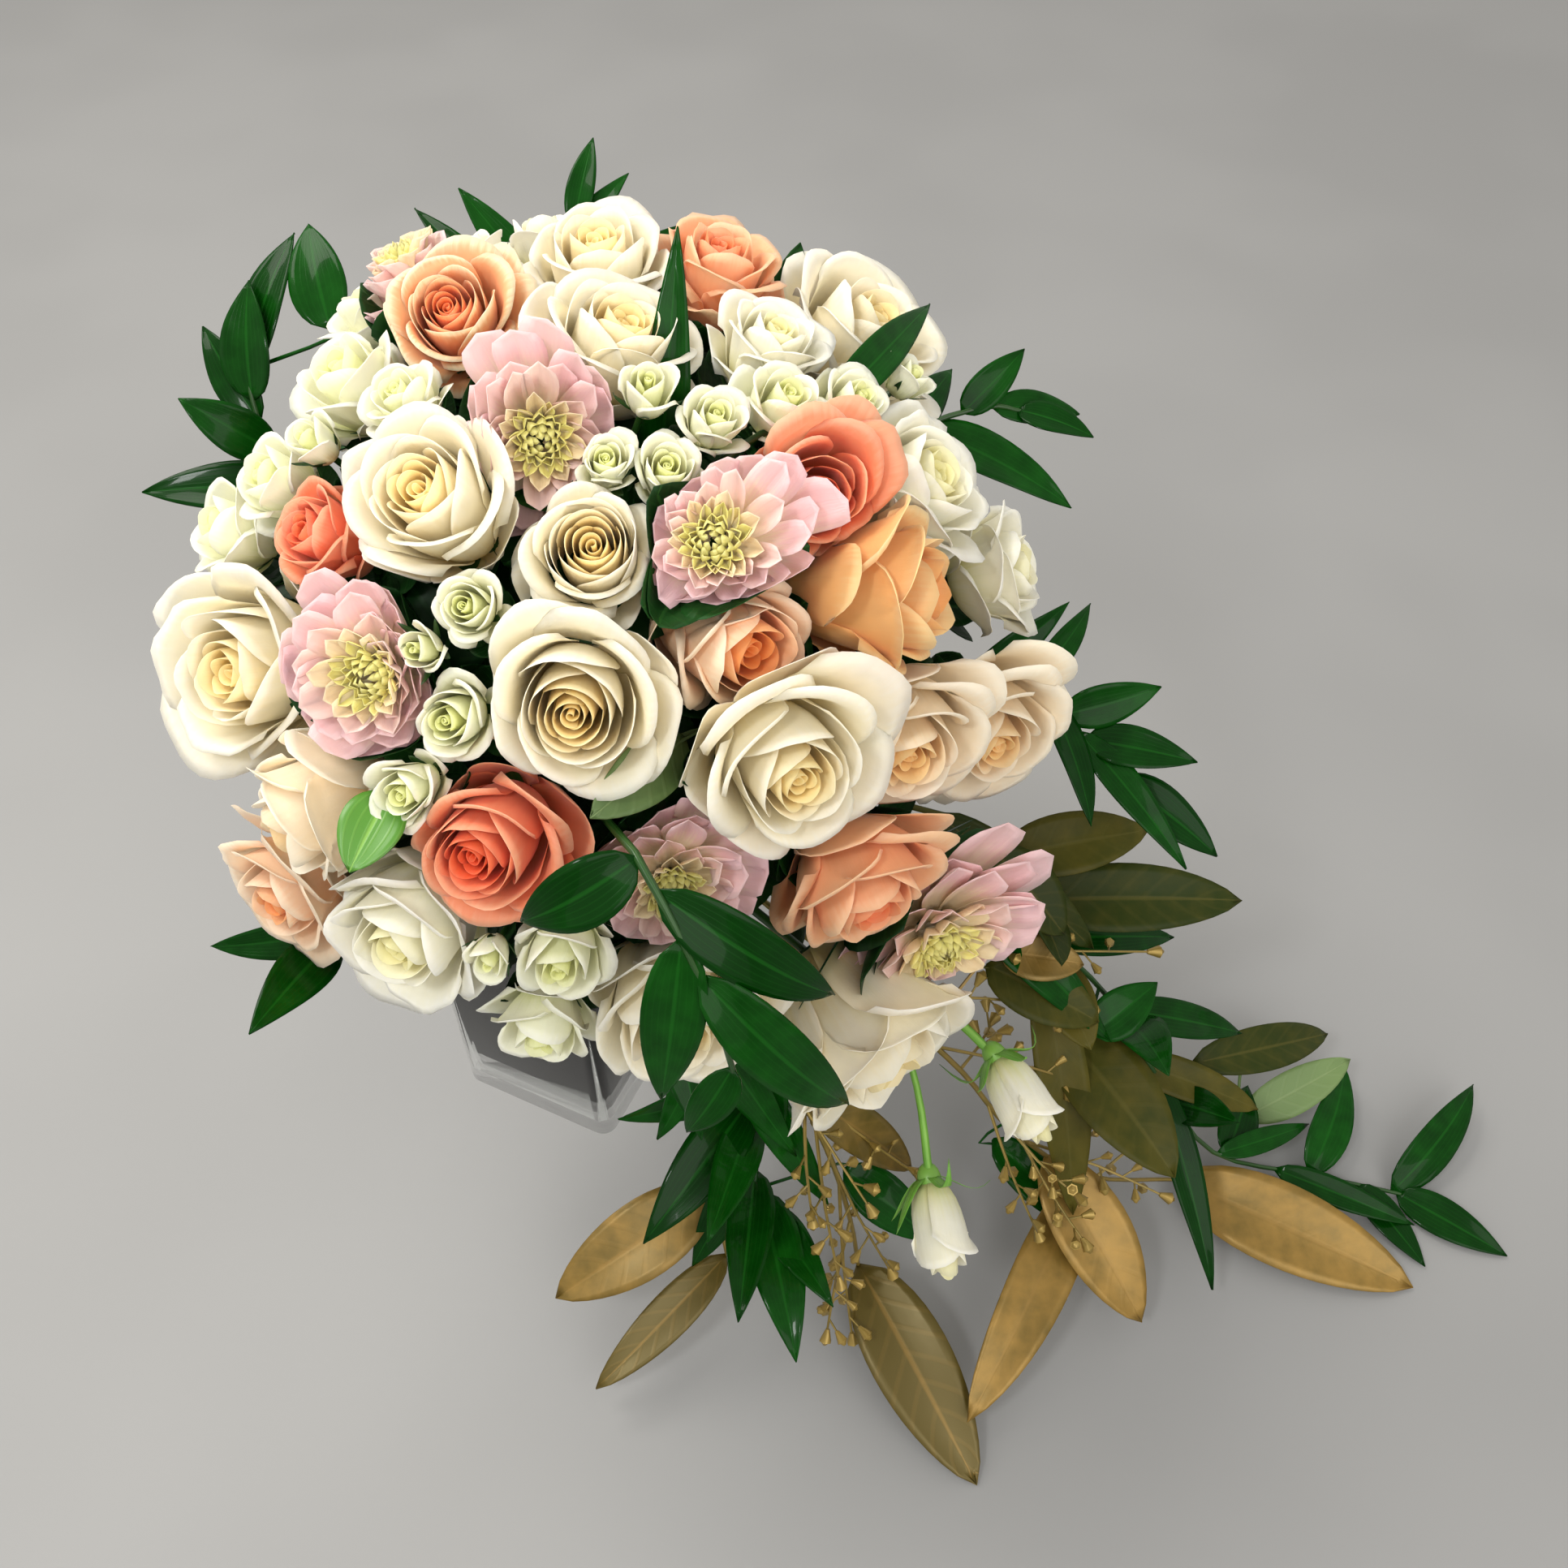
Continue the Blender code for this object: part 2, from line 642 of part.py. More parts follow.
def join_to_stem(bm, ring, stem):
    """Faces from the lowest ring of a head to the top of its stem, and down the stem."""
    # The stem runs downwards, so its corners are taken the other way round.
    top = [stem[0][-corner % STEM_SIDES] for corner in range(STEM_SIDES)]
    count = len(ring)
    for index in range(count):
        after = (index + 1) % count
        here = round(index * STEM_SIDES / count) % STEM_SIDES
        there = round((index + 1) * STEM_SIDES / count) % STEM_SIDES
        bm.faces.new((ring[index], ring[after], top[here]))
        if here != there:
            bm.faces.new((ring[after], top[there], top[here]))
    join_rings(bm, stem)
    bm.faces.new(stem[-1])


def cap_with_point(bm, ring, point):
    tip = bm.verts.new(point)
    for corner in range(len(ring)):
        bm.faces.new((tip, ring[corner], ring[(corner + 1) % len(ring)]))


def close_head(bm, rings, top, bottom):
    join_rings(bm, rings)
    cap_with_point(bm, rings[0], top)
    cap_with_point(bm, rings[-1], bottom)


def leaf_object(name, base, tip, width, out, arch, cup):
    """A thin pointed blade, thickest at its rib, with a short stalk at its root."""
    along = tip - base
    length = along.length
    out = (out - along * out.dot(along) / along.length_squared).normalized()
    side = along.normalized().cross(out)
    stations = ((0.0, 0.05), (0.30, 0.86), (0.64, 0.90))
    bm = bmesh.new()
    rows = []
    for share, wide in stations:
        middle = base + along * share + out * (arch * length * 4 * share * (1 - share))
        half = max(width * MM / 2 * wide, 0.0012)
        rise = out * cup * half
        thick = out * LEAF_THICK / 2
        rows.append((
            bm.verts.new(middle - side * half + rise),
            bm.verts.new(middle + thick),
            bm.verts.new(middle + side * half + rise),
            bm.verts.new(middle - thick),
        ))
    join_rings(bm, [list(row) for row in rows])
    bm.faces.new(rows[0][::-1])
    end = bm.verts.new(tip)
    for corner in range(4):
        bm.faces.new((rows[-1][corner], rows[-1][(corner + 1) % 4], end))
    return as_object(name, bm)


def leaf_face(middle):
    """The way a leaf's upper side looks: outward round the dome, and up along the trail."""
    away = middle - DOME_CENTRE
    if away.length > TRAIL_START:
        return Vector((0.1, -0.45, 0.9))
    if away.normalized().dot(FACE) < -0.3:
        return away.normalized()
    return away.normalized() * 0.5 + FACE


def seed_object(name, middle, radius):
    """A four-sided seed, pointed above and below."""
    bm = bmesh.new()
    ring = []
    for corner in range(4):
        angle = math.tau * corner / 4
        ring.append(bm.verts.new((radius * math.cos(angle), radius * math.sin(angle), 0.0)))
    close_head(bm, [ring], Vector((0.0, 0.0, radius * 1.3)), Vector((0.0, 0.0, -radius * 1.3)))
    bmesh.ops.translate(bm, vec=middle, verts=bm.verts)
    return as_object(name, bm)


def along_path(path, share):
    """The point at a share of the path's length."""
    lengths = [(b - a).length for a, b in zip(path, path[1:])]
    left = share * sum(lengths)
    for start, end, length in zip(path, path[1:], lengths):
        if left <= length:
            return start.lerp(end, left / length)
        left -= length
    return path[-1].copy()


def spread_apart(headings):
    """Headings of the holes in the foam, pushed apart until the stems clear each other."""
    spread = [heading.copy() for heading in headings]
    least = math.radians(STEM_SPREAD)
    for _ in range(60):
        for i, first in enumerate(spread):
            for j in range(i + 1, len(spread)):
                second = spread[j]
                apart = first.angle(second)
                if apart >= least:
                    continue
                push = (first - second).normalized() * (least - apart) * 0.5
                first = (first + push).normalized()
                spread[i] = first
                spread[j] = (second - push).normalized()
    return spread


def stem_path(hole, end):
    """A stem from deep in the foam, straight out of it, and on to its end."""
    return [FOAM_CENTRE + hole * STEM_DEPTH, FOAM_CENTRE + hole * (FOAM_RADIUS + 0.014), end]


def make_vase(colour):
    bm = bmesh.new()
    bmesh.ops.create_cube(bm, size=1.0)
    bmesh.ops.scale(bm, vec=(VASE_SIDE, VASE_SIDE, VASE_HEIGHT), verts=bm.verts)
    bmesh.ops.translate(bm, vec=(0, 0, VASE_HEIGHT / 2), verts=bm.verts)
    upright = [edge for edge in bm.edges if abs(edge.verts[0].co.z - edge.verts[1].co.z) > 0.1]
    bmesh.ops.bevel(
        bm, geom=upright, offset=VASE_CORNER, segments=3, profile=0.5, affect="EDGES", material=-1
    )
    top = max(bm.faces, key=lambda face: face.calc_center_median().z)
    bmesh.ops.inset_individual(bm, faces=[top], thickness=VASE_WALL, use_even_offset=True)
    moved = bmesh.ops.extrude_discrete_faces(bm, faces=[top])["faces"]
    corners = [vert for face in moved for vert in face.verts]
    bmesh.ops.translate(bm, vec=(0, 0, VASE_FLOOR - VASE_HEIGHT), verts=corners)
    bmesh.ops.rotate(bm, matrix=Matrix.Rotation(math.radians(VASE_TURN), 3, "Z"), verts=bm.verts)
    return fused("vase", [as_object("vase", bm)], colour)


def turned(name, profile, sides=12):
    """A closed solid turned round Z from (radius, height) points, top to bottom."""
    bm = bmesh.new()
    rings = []
    for radius, height in profile:
        ring = []
        for corner in range(sides):
            angle = math.tau * corner / sides
            ring.append(bm.verts.new((radius * math.cos(angle), radius * math.sin(angle), height)))
        rings.append(ring)
    join_rings(bm, rings)
    bm.faces.new(rings[0])
    bm.faces.new(rings[-1][::-1])
    return as_object(name, bm)


def make_holder(colour):
    floor = VASE_HEIGHT + GAP
    top = floor + COLLAR_THICK
    end = floor - HANDLE_LENGTH
    body = turned("holder", (
        (COLLAR_RADIUS - 0.001, top),
        (COLLAR_RADIUS, top - COLLAR_THICK / 2),
        (COLLAR_RADIUS - 0.001, floor),
        (HANDLE_TOP_RADIUS, floor),
        (HANDLE_TOP_RADIUS, floor - 0.010),
        (HANDLE_END_RADIUS, end + 0.003),
        (HANDLE_END_RADIUS - 0.003, end),
    ))
    cup = turned("cup", (
        (CUP_RADIUS, top + CUP_DEPTH),
        (CUP_RADIUS, top + CUP_DEPTH - 0.002),
        (CUP_RADIUS * 0.62, top - 0.001),
    ))
    cup.data.transform(Matrix.Translation((FOAM_CENTRE.x, FOAM_CENTRE.y, 0.0)))
    whole = fused("holder", [body, cup], colour)
    hollow = foam_ball("hollow", FOAM_RADIUS + GAP * 2)
    return fused("holder", [whole, hollow], colour, "DIFFERENCE")


def foam_ball(name, radius):
    bm = bmesh.new()
    bmesh.ops.create_icosphere(bm, subdivisions=2, radius=radius)
    bmesh.ops.translate(bm, vec=FOAM_CENTRE, verts=bm.verts)
    return as_object(name, bm)


def make_foam(holes, colour):
    """The foam ball with a plain hole for every stem."""
    drills = []
    for index, (hole, radius) in enumerate(holes):
        start = FOAM_CENTRE + hole * (STEM_DEPTH - GAP)
        end = FOAM_CENTRE + hole * (FOAM_RADIUS + 0.010)
        wide = (radius + GAP) / math.cos(math.pi / DRILL_SIDES)
        drills.append(tube(f"drill_{index}", [start, end], wide, sides=DRILL_SIDES))
    return fused("foam", [foam_ball("foam", FOAM_RADIUS), *drills], colour, "DIFFERENCE")


def in_metres(point):
    return Vector(point) * MM


def make_flowers(colours, rng):
    """Roses, dahlias and sprays. Returns the hole that each needs in the foam."""
    groups = [(node, colour, (head,)) for node, colour, head in (*ROSES, *DAHLIAS)]
    groups += list(SPRAYS)
    stems = [(in_metres(points[0]) - FOAM_CENTRE).normalized() for _, _, points, _, _ in SPRIGS]
    stems.append((in_metres(BUD_STEM[0]) - FOAM_CENTRE).normalized())
    every = [head for _, _, heads in groups for head in heads]
    headings = [heads[0].heading() for _, _, heads in groups] + stems
    holes = spread_apart(headings)
    for group, (node, colour, heads) in enumerate(groups):
        pieces = []
        main = stem_path(holes[group], heads[0].base())
        for index, head in enumerate(heads):
            planes = cell_planes(head, [other for other in every if other is not head], stems)
            if index == 0:
                pieces.append(head_object(node, head, planes, rng, main[::-1]))
                continue
            pieces.append(head_object(f"{node}_{index}", head, planes, rng))
            fork = main[1].lerp(main[2], FORK_SHARE)
            end = head.base() + head.look() * 0.007
            pieces.append(tube(f"{node}_twig_{index}", [fork, end], TWIG_RADIUS))
        fused(node, pieces, colours[colour])
    return [(hole, STEM_RADIUS) for hole in holes], holes[len(groups):]


def make_sprigs(holes, colours):
    for (node, colour, points, leaves, seeds), hole in zip(SPRIGS, holes):
        route = [in_metres(point) for point in points]
        path = stem_path(hole, route[0])[:-1] + smooth_path(route)
        pieces = [tube(f"{node}_stem", path, STEM_RADIUS, TWIG_RADIUS)]
        for index, leaf in enumerate(leaves):
            base = along_path(path, leaf.station)
            tip = in_metres(leaf.tip)
            out = leaf_face(base.lerp(tip, 0.5))
            pieces.append(
                leaf_object(f"{node}_{index}", base, tip, leaf.width, out, leaf.arch, leaf.cup)
            )
        for index, (station, end) in enumerate(seeds):
            start = along_path(path, station)
            end = in_metres(end)
            pieces.append(tube(f"{node}_twig_{index}", [start, end], TWIG_RADIUS * 0.8))
            side = (end - start).orthogonal().normalized()
            for place, (share, away) in enumerate(SEED_PLACES):
                middle = start.lerp(end, share) + side * away * MM
                pieces.append(seed_object(f"{node}_seed_{index}_{place}", middle, 0.0026))
        fused(node, pieces, colours[colour])


def rosebud_object(name, base, tip, rng):
    look = (tip - base).normalized()
    turn = look.to_track_quat("Z", "Y").to_matrix() @ Matrix.Rotation(rng.uniform(0, math.tau), 3, "Z")
    height = (tip - base).length
    bm = bmesh.new()
    rings = []
    rows, columns = ROWS["rosebud"]
    for row in rows:
        points = row_points(row, columns, [1.0], BUD_WIDTH * MM / 2, height)
        rings.append([bm.verts.new(turn @ point + base) for point in points])
    close_head(bm, rings, tip, base)
    return as_object(name, bm)


def make_rosebuds(hole, colours, rng):
    stem = [in_metres(point) for point in BUD_STEM]
    fork = [in_metres(point) for point in BUD_FORK]
    tips = [in_metres(point) for point in BUD_TIPS]
    pieces = [
        tube("rosebuds_stem", stem_path(hole, stem[0])[:-1] + smooth_path(stem), STEM_RADIUS, TWIG_RADIUS),
        tube("rosebuds_fork", smooth_path(fork), TWIG_RADIUS),
    ]
    for index, (path, tip) in enumerate(zip((stem, fork), tips)):
        base = path[-1] - (tip - path[-1]).normalized() * 0.003
        pieces.append(rosebud_object(f"rosebuds_{index}", base, tip, rng))
    fused("rosebuds_trail", pieces, colours[WHITE])


def main():
    clear_scene()
    rng = random.Random(7)
    names = {
        IVORY: "ivory_petal", WHITE: "white_petal", BLUSH: "blush_petal", PEACH: "peach_petal",
        CORAL: "coral_petal", PINK: "pink_petal", LIME: "lime_petal", DEEP_GREEN: "ruscus_leaf",
        OLIVE: "olive_leaf", GOLD: "gold_leaf",
    }
    colours = {colour: material(name, colour) for colour, name in names.items()}
    glass = material("clear_glass", (0.95, 0.98, 0.97), roughness=0.02, transmission=1.0)
    plastic = material("holder_plastic", (0.80, 0.82, 0.80), roughness=0.4)
    foam = material("wet_foam", (0.06, 0.20, 0.09), roughness=0.9)
    holes, sprig_holes = make_flowers(colours, rng)
    make_sprigs(sprig_holes, colours)
    make_rosebuds(sprig_holes[-1], colours, rng)
    make_vase(glass)
    make_holder(plastic)
    make_foam(holes, foam)


main()
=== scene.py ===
# %% [markdown]
# # A cascading rose bouquet in a square glass vase
#
# The real object is a bridal bouquet that stands in a clear vase. Roses, spray roses and
# dahlias are pushed into a ball of wet foam, packed into a dome about 380 mm across. Leafy
# stems of ruscus and gilded eucalyptus fall from the foam to the table. This lesson dresses a
# plain solid model of it: each solid gives its flower, spray or stem a place and an outline,
# and a finer piece with thin petals or veined leaves takes that place.

# %% Load the solid model
import random
from dataclasses import dataclass
from math import asin, cos, degrees, pi, radians, sin, tau

import bmesh
import bpy
import numpy as np
from mathutils import Matrix, Vector


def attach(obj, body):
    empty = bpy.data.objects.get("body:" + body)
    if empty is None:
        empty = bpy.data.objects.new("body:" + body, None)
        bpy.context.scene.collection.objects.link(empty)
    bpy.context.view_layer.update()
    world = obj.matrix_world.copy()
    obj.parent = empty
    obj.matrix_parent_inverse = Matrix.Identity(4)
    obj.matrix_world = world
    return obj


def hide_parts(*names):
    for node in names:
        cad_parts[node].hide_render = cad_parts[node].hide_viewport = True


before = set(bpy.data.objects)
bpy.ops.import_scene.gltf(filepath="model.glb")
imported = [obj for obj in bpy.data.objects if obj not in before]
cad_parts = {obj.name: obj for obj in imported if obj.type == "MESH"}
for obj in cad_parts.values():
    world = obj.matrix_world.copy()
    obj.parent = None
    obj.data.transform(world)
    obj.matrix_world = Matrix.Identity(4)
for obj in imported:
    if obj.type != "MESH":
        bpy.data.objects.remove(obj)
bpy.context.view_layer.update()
MM = 0.001


def show(made):
    """Puts an object into the scene."""
    bpy.context.scene.collection.objects.link(made)


# %% [markdown]
# ## Camera, floor and light
#
# The bouquet is seen from in front and from above, at about 50 degrees down. A camera needs a
# place, a turn and a lens, and all three can be worked out from the vase's base and the spread
# of the flowers. A plain pale floor and large soft lamps keep the shadows soft, as in a studio.

# %% Camera
CAMERA_PLACE = (0.128, -0.495, 0.840)
CAMERA_TILT = 40.0
CAMERA_LENS = 35.4

camera = bpy.data.objects.new("camera", bpy.data.cameras.new("camera"))
camera.location = CAMERA_PLACE
camera.rotation_euler = (radians(CAMERA_TILT), 0.0, 0.0)
camera.data.lens = CAMERA_LENS
camera.data.sensor_width = 36.0
show(camera)
bpy.context.scene.camera = camera
print("camera at", CAMERA_PLACE)


# %% Lamps and air
def soft_lamp(name, place, aim, size, watts, tint):
    """A large square lamp that looks from its place at the aim."""
    lamp = bpy.data.lights.new(name, "AREA")
    lamp.shape = "SQUARE"
    lamp.size = size
    lamp.energy = watts
    lamp.color = tint
    made = bpy.data.objects.new(name, lamp)
    made.location = place
    made.rotation_euler = (Vector(aim) - Vector(place)).to_track_quat("-Z", "Y").to_euler()
    show(made)


BOUQUET_MIDDLE = (0.08, -0.03, 0.30)
soft_lamp("key_lamp", (-0.9, 0.5, 1.9), BOUQUET_MIDDLE, 1.1, 34.0, (1.0, 0.96, 0.90))
soft_lamp("front_lamp", (0.9, -1.6, 1.5), BOUQUET_MIDDLE, 1.6, 20.0, (1.0, 0.98, 0.95))
soft_lamp("leaf_shine", (-0.5, -0.9, 1.7), BOUQUET_MIDDLE, 0.25, 8.0, (1.0, 1.0, 1.0))

air = bpy.data.worlds.new("studio_air")
air.use_nodes = True
air.node_tree.nodes["Background"].inputs["Color"].default_value = (0.86, 0.83, 0.79, 1.0)
air.node_tree.nodes["Background"].inputs["Strength"].default_value = 0.9
bpy.context.scene.world = air
bpy.context.scene.view_settings.view_transform = "Standard"
print("lamps:", [lamp.name for lamp in bpy.data.lights])

# %% [markdown]
# ## Building blocks for the finishes
#
# A finish is a small net of nodes. The same few steps come back in every one: read a value that
# was stored on the mesh, spread it over a range, mix two colours by it. Short helpers for these
# steps keep each finish readable. Every helper gives back the output that the next step takes.


# %% Node helpers
def put(tree, target, value):
    """Links an output to an input, or sets the input to a plain value."""
    if isinstance(value, bpy.types.NodeSocket):
        tree.links.new(value, target)
    elif hasattr(value, "__len__") and len(value) == 3 and target.type == "RGBA":
        target.default_value = (*value, 1.0)
    else:
        target.default_value = value


def stored(tree, name):
    """A number stored on the mesh's corners under this name."""
    node = tree.nodes.new("ShaderNodeAttribute")
    node.attribute_name = name
    return node.outputs["Fac"]


def sums(tree, operation, first, second=0.0):
    """One step of arithmetic."""
    node = tree.nodes.new("ShaderNodeMath")
    node.operation = operation
    put(tree, node.inputs[0], first)
    put(tree, node.inputs[1], second)
    return node.outputs["Value"]


def spread_over(tree, value, low, high, start=0.0, end=1.0):
    """The value from low to high, eased to run from start to end."""
    node = tree.nodes.new("ShaderNodeMapRange")
    node.interpolation_type = "SMOOTHSTEP"
    given = {"Value": value, "From Min": low, "From Max": high, "To Min": start, "To Max": end}
    for socket, number in given.items():
        put(tree, node.inputs[socket], number)
    return node.outputs["Result"]


def blend(tree, share, first, second, kind="MIX"):
    """The first colour, turned into the second by the share."""
    node = tree.nodes.new("ShaderNodeMix")
    node.data_type = "RGBA"
    node.blend_type = kind
    put(tree, node.inputs["Factor"], share)
    put(tree, node.inputs["A"], first)
    put(tree, node.inputs["B"], second)
    return node.outputs["Result"]


def place_vector(tree, x, y, z):
    node = tree.nodes.new("ShaderNodeCombineXYZ")
    for socket, value in zip("XYZ", (x, y, z)):
        put(tree, node.inputs[socket], value)
    return node.outputs["Vector"]


def times(tree, first, second):
    return sums(tree, "MULTIPLY", first, second)


def plus(tree, first, second):
    return sums(tree, "ADD", first, second)


def clouds(tree, vector, scale, detail=2.0):
    """Soft random patches, from 0 to 1."""
    node = tree.nodes.new("ShaderNodeTexNoise")
    put(tree, node.inputs["Vector"], vector)
    node.inputs["Scale"].default_value = scale
    node.inputs["Detail"].default_value = detail
    return node.outputs["Fac"]


def object_place(tree):
    return tree.nodes.new("ShaderNodeTexCoord").outputs["Object"]


print("node helpers ready")


# %% Effects and finishes
def start_effect(name, colours, numbers):
    """A node group with colour and number inputs, and a colour, a height and a roughness out."""
    tree = bpy.data.node_groups.new(name, "ShaderNodeTree")
    sockets = (
        ("INPUT", "NodeSocketColor", colours), ("INPUT", "NodeSocketFloat", numbers),
        ("OUTPUT", "NodeSocketColor", ("Colour",)), ("OUTPUT", "NodeSocketFloat", ("Height", "Roughness")),
    )
    for way, kind, labels in sockets:
        for label in labels:
            tree.interface.new_socket(label, in_out=way, socket_type=kind)
    return tree, tree.nodes.new("NodeGroupInput").outputs


def end_effect(tree, *results):
    """Gives out the effect's colour, height and roughness."""
    out = tree.nodes.new("NodeGroupOutput").inputs
    for socket, value in zip(("Colour", "Height", "Roughness"), results):
        put(tree, out[socket], value)
    return tree


def finish_from(name, effect, inputs, relief, **sockets):
    """A material that feeds an effect into the shader. Relief is the height of its bumps in metres."""
    made = bpy.data.materials.new(name)
    made.use_nodes = True
    tree = made.node_tree
    shader = tree.nodes["Principled BSDF"]
    group = tree.nodes.new("ShaderNodeGroup")
    group.node_tree = effect
    for socket, value in inputs.items():
        put(tree, group.inputs[socket], value)
    bump = tree.nodes.new("ShaderNodeBump")
    bump.inputs["Strength"].default_value = 0.6
    bump.inputs["Distance"].default_value = relief
    put(tree, bump.inputs["Height"], group.outputs["Height"])
    put(tree, shader.inputs["Normal"], bump.outputs["Normal"])
    put(tree, shader.inputs["Base Color"], group.outputs["Colour"])
    put(tree, shader.inputs["Roughness"], group.outputs["Roughness"])
    for socket, value in sockets.items():
        put(tree, shader.inputs[socket.replace("_", " ")], value)
    return made


print("effect helpers ready")

# %% [markdown]
# ## Petal finish
#
# A real petal is pale and thin. It is greenish at its root, richest in colour where it stands in
# the heart of the flower, and bleached along its rim, with fine veins that run from root to rim.
# The deeper heart and root colours are partly the flower's own and partly painted glow: they stand
# in for warm light that passes through the petals into the crevices.
# A picture could be painted for this, but every petal would need its own. Here three numbers are
# stored on each petal as it is made: along (root to rim), across (edge to edge) and depth (heart
# to outside). One effect turns them into colour, and each kind of flower gives its own colours.


# %% Petal effect
def make_petal_effect():
    tree, given = start_effect("petal_tissue", ("Heart", "Body", "Root", "Rim"), ("Veins", "Rim Share"))
    along = stored(tree, "along")
    depth = stored(tree, "depth")
    patches = clouds(tree, object_place(tree), 70.0)
    streak_place = place_vector(
        tree,
        times(tree, stored(tree, "across"), 9.0),
        times(tree, along, 0.9),
        times(tree, depth, 40.0),
    )
    streaks = clouds(tree, streak_place, 1.0, 3.0)
    # Painted glow: the heart colour deepens towards the flower's middle, and the root colour at each petal's
    # base. This is partly the rose's own colour and partly light through the petals.
    body = blend(tree, spread_over(tree, depth, 0.15, 0.95), given["Heart"], given["Body"])
    wavy = plus(tree, along, times(tree, sums(tree, "SUBTRACT", streaks, 0.5), 0.35))
    root_and_painted_glow = blend(tree, spread_over(tree, wavy, 0.15, 0.72), given["Root"], body)
    bleached = times(tree, spread_over(tree, wavy, 0.80, 1.02), given["Rim Share"])
    open_air = spread_over(tree, depth, 0.30, 0.95, 0.12, 1.0)
    rimmed = blend(tree, times(tree, bleached, open_air), root_and_painted_glow, given["Rim"])
    veined = blend(tree, times(tree, given["Veins"], streaks), rimmed, root_and_painted_glow, "MULTIPLY")
    shade = spread_over(tree, patches, 0.3, 0.7, 0.93, 1.0)
    mottled = blend(tree, 1.0, veined, place_vector(tree, shade, shade, shade), "MULTIPLY")
    height = plus(tree, streaks, times(tree, clouds(tree, object_place(tree), 900.0), 0.25))
    return end_effect(tree, mottled, height, spread_over(tree, patches, 0.2, 0.8, 0.46, 0.62))


PETAL_EFFECT = make_petal_effect()
print("petal effect nodes:", len(PETAL_EFFECT.nodes))

# %% Petal colours
# Each finish: heart, body, root and rim colours, the depth of the veins, the share of the rim.
# The heart and root colours hold painted glow in the crevices as well as the flower's own colour.
PETAL_COLOURS = {
    "ivory": ((0.94, 0.70, 0.26), (0.94, 0.85, 0.60), (0.90, 0.68, 0.22), (0.95, 0.91, 0.76), 0.10, 0.7),
    "white": ((0.90, 0.82, 0.34), (0.93, 0.89, 0.69), (0.84, 0.78, 0.30), (0.95, 0.93, 0.82), 0.10, 0.7),
    "cream": ((0.93, 0.52, 0.17), (0.94, 0.76, 0.50), (0.88, 0.60, 0.24), (0.95, 0.87, 0.68), 0.10, 0.6),
    "blush": ((0.92, 0.24, 0.04), (0.94, 0.62, 0.38), (0.90, 0.46, 0.16), (0.95, 0.78, 0.56), 0.12, 0.6),
    "peach": ((0.88, 0.16, 0.04), (0.94, 0.42, 0.20), (0.90, 0.30, 0.09), (0.96, 0.62, 0.38), 0.18, 0.5),
    "orange": ((0.90, 0.24, 0.03), (0.94, 0.46, 0.16), (0.92, 0.38, 0.09), (0.96, 0.70, 0.32), 0.12, 0.6),
    "coral": ((0.82, 0.08, 0.02), (0.92, 0.24, 0.11), (0.88, 0.18, 0.05), (0.95, 0.44, 0.27), 0.22, 0.6),
    "coral_yellow": (
        (0.86, 0.16, 0.03), (0.94, 0.44, 0.20), (0.90, 0.34, 0.10), (0.96, 0.84, 0.52), 0.20, 0.9,
    ),
    "pink": ((0.84, 0.76, 0.22), (0.90, 0.54, 0.55), (0.92, 0.78, 0.50), (0.90, 0.52, 0.55), 0.20, 0.3),
    "lime": ((0.78, 0.80, 0.28), (0.91, 0.90, 0.64), (0.76, 0.78, 0.30), (0.94, 0.93, 0.78), 0.12, 0.6),
}


def petal_finish(name):
    heart, body, root, rim, veins, rim_share = PETAL_COLOURS[name]
    inputs = {"Heart": heart, "Body": body, "Root": root, "Rim": rim, "Veins": veins, "Rim Share": rim_share}
    return finish_from(
        f"{name}_petal", PETAL_EFFECT, inputs, 0.0003,
        Subsurface_Weight=0.5, Subsurface_Radius=(1.0, 0.88, 0.70), Subsurface_Scale=0.003,
        Sheen_Weight=0.1, Sheen_Roughness=0.5, IOR=1.35,
    )


PETAL_FINISHES = {name: petal_finish(name) for name in PETAL_COLOURS}
print("petal finishes:", list(PETAL_FINISHES))

# %% [markdown]
# ## Leaf and stem finishes
#
# Ruscus leaves are waxy: dark green, strongly glossy, with long veins that run side by side from
# stalk to tip. Eucalyptus leaves are broader and dull, with a pale rib and side veins, and many
# here are painted gold, unevenly, so that green and brown show through. One effect draws ribs and
# veins from the stored along and across numbers, and the stored depth gives each leaf its own tone.


# %% Leaf effect
def make_leaf_effect():
    tree, given = start_effect("leaf_tissue", ("Dark", "Light", "Rib"), ("Lines", "Feather", "Gloss"))
    along = stored(tree, "along")
    side = sums(tree, "ABSOLUTE", stored(tree, "across"))
    patches = clouds(tree, object_place(tree), 90.0, 4.0)
    slanted = sums(tree, "SUBTRACT", along, times(tree, side, 0.16))
    lines = times(tree, stored(tree, "across"), given["Lines"])
    phase = plus(tree, lines, times(tree, slanted, given["Feather"]))
    wave = sums(tree, "SINE", times(tree, phase, tau))
    vein = spread_over(tree, wave, 0.55, 1.0)
    rib = spread_over(tree, side, 0.10, 0.02)
    tint = plus(tree, stored(tree, "depth"), times(tree, sums(tree, "SUBTRACT", patches, 0.5), 0.6))
    blade = blend(tree, spread_over(tree, tint, 0.15, 0.95), given["Dark"], given["Light"])
    veined = blend(tree, times(tree, vein, 0.10), blade, given["Rib"])
    ribbed = blend(tree, times(tree, rib, 0.45), veined, given["Rib"])
    height = sums(tree, "SUBTRACT", times(tree, vein, 0.5), rib)
    rough = plus(tree, given["Gloss"], times(tree, patches, 0.14))
    return end_effect(tree, ribbed, height, rough)


LEAF_EFFECT = make_leaf_effect()
print("leaf effect nodes:", len(LEAF_EFFECT.nodes))


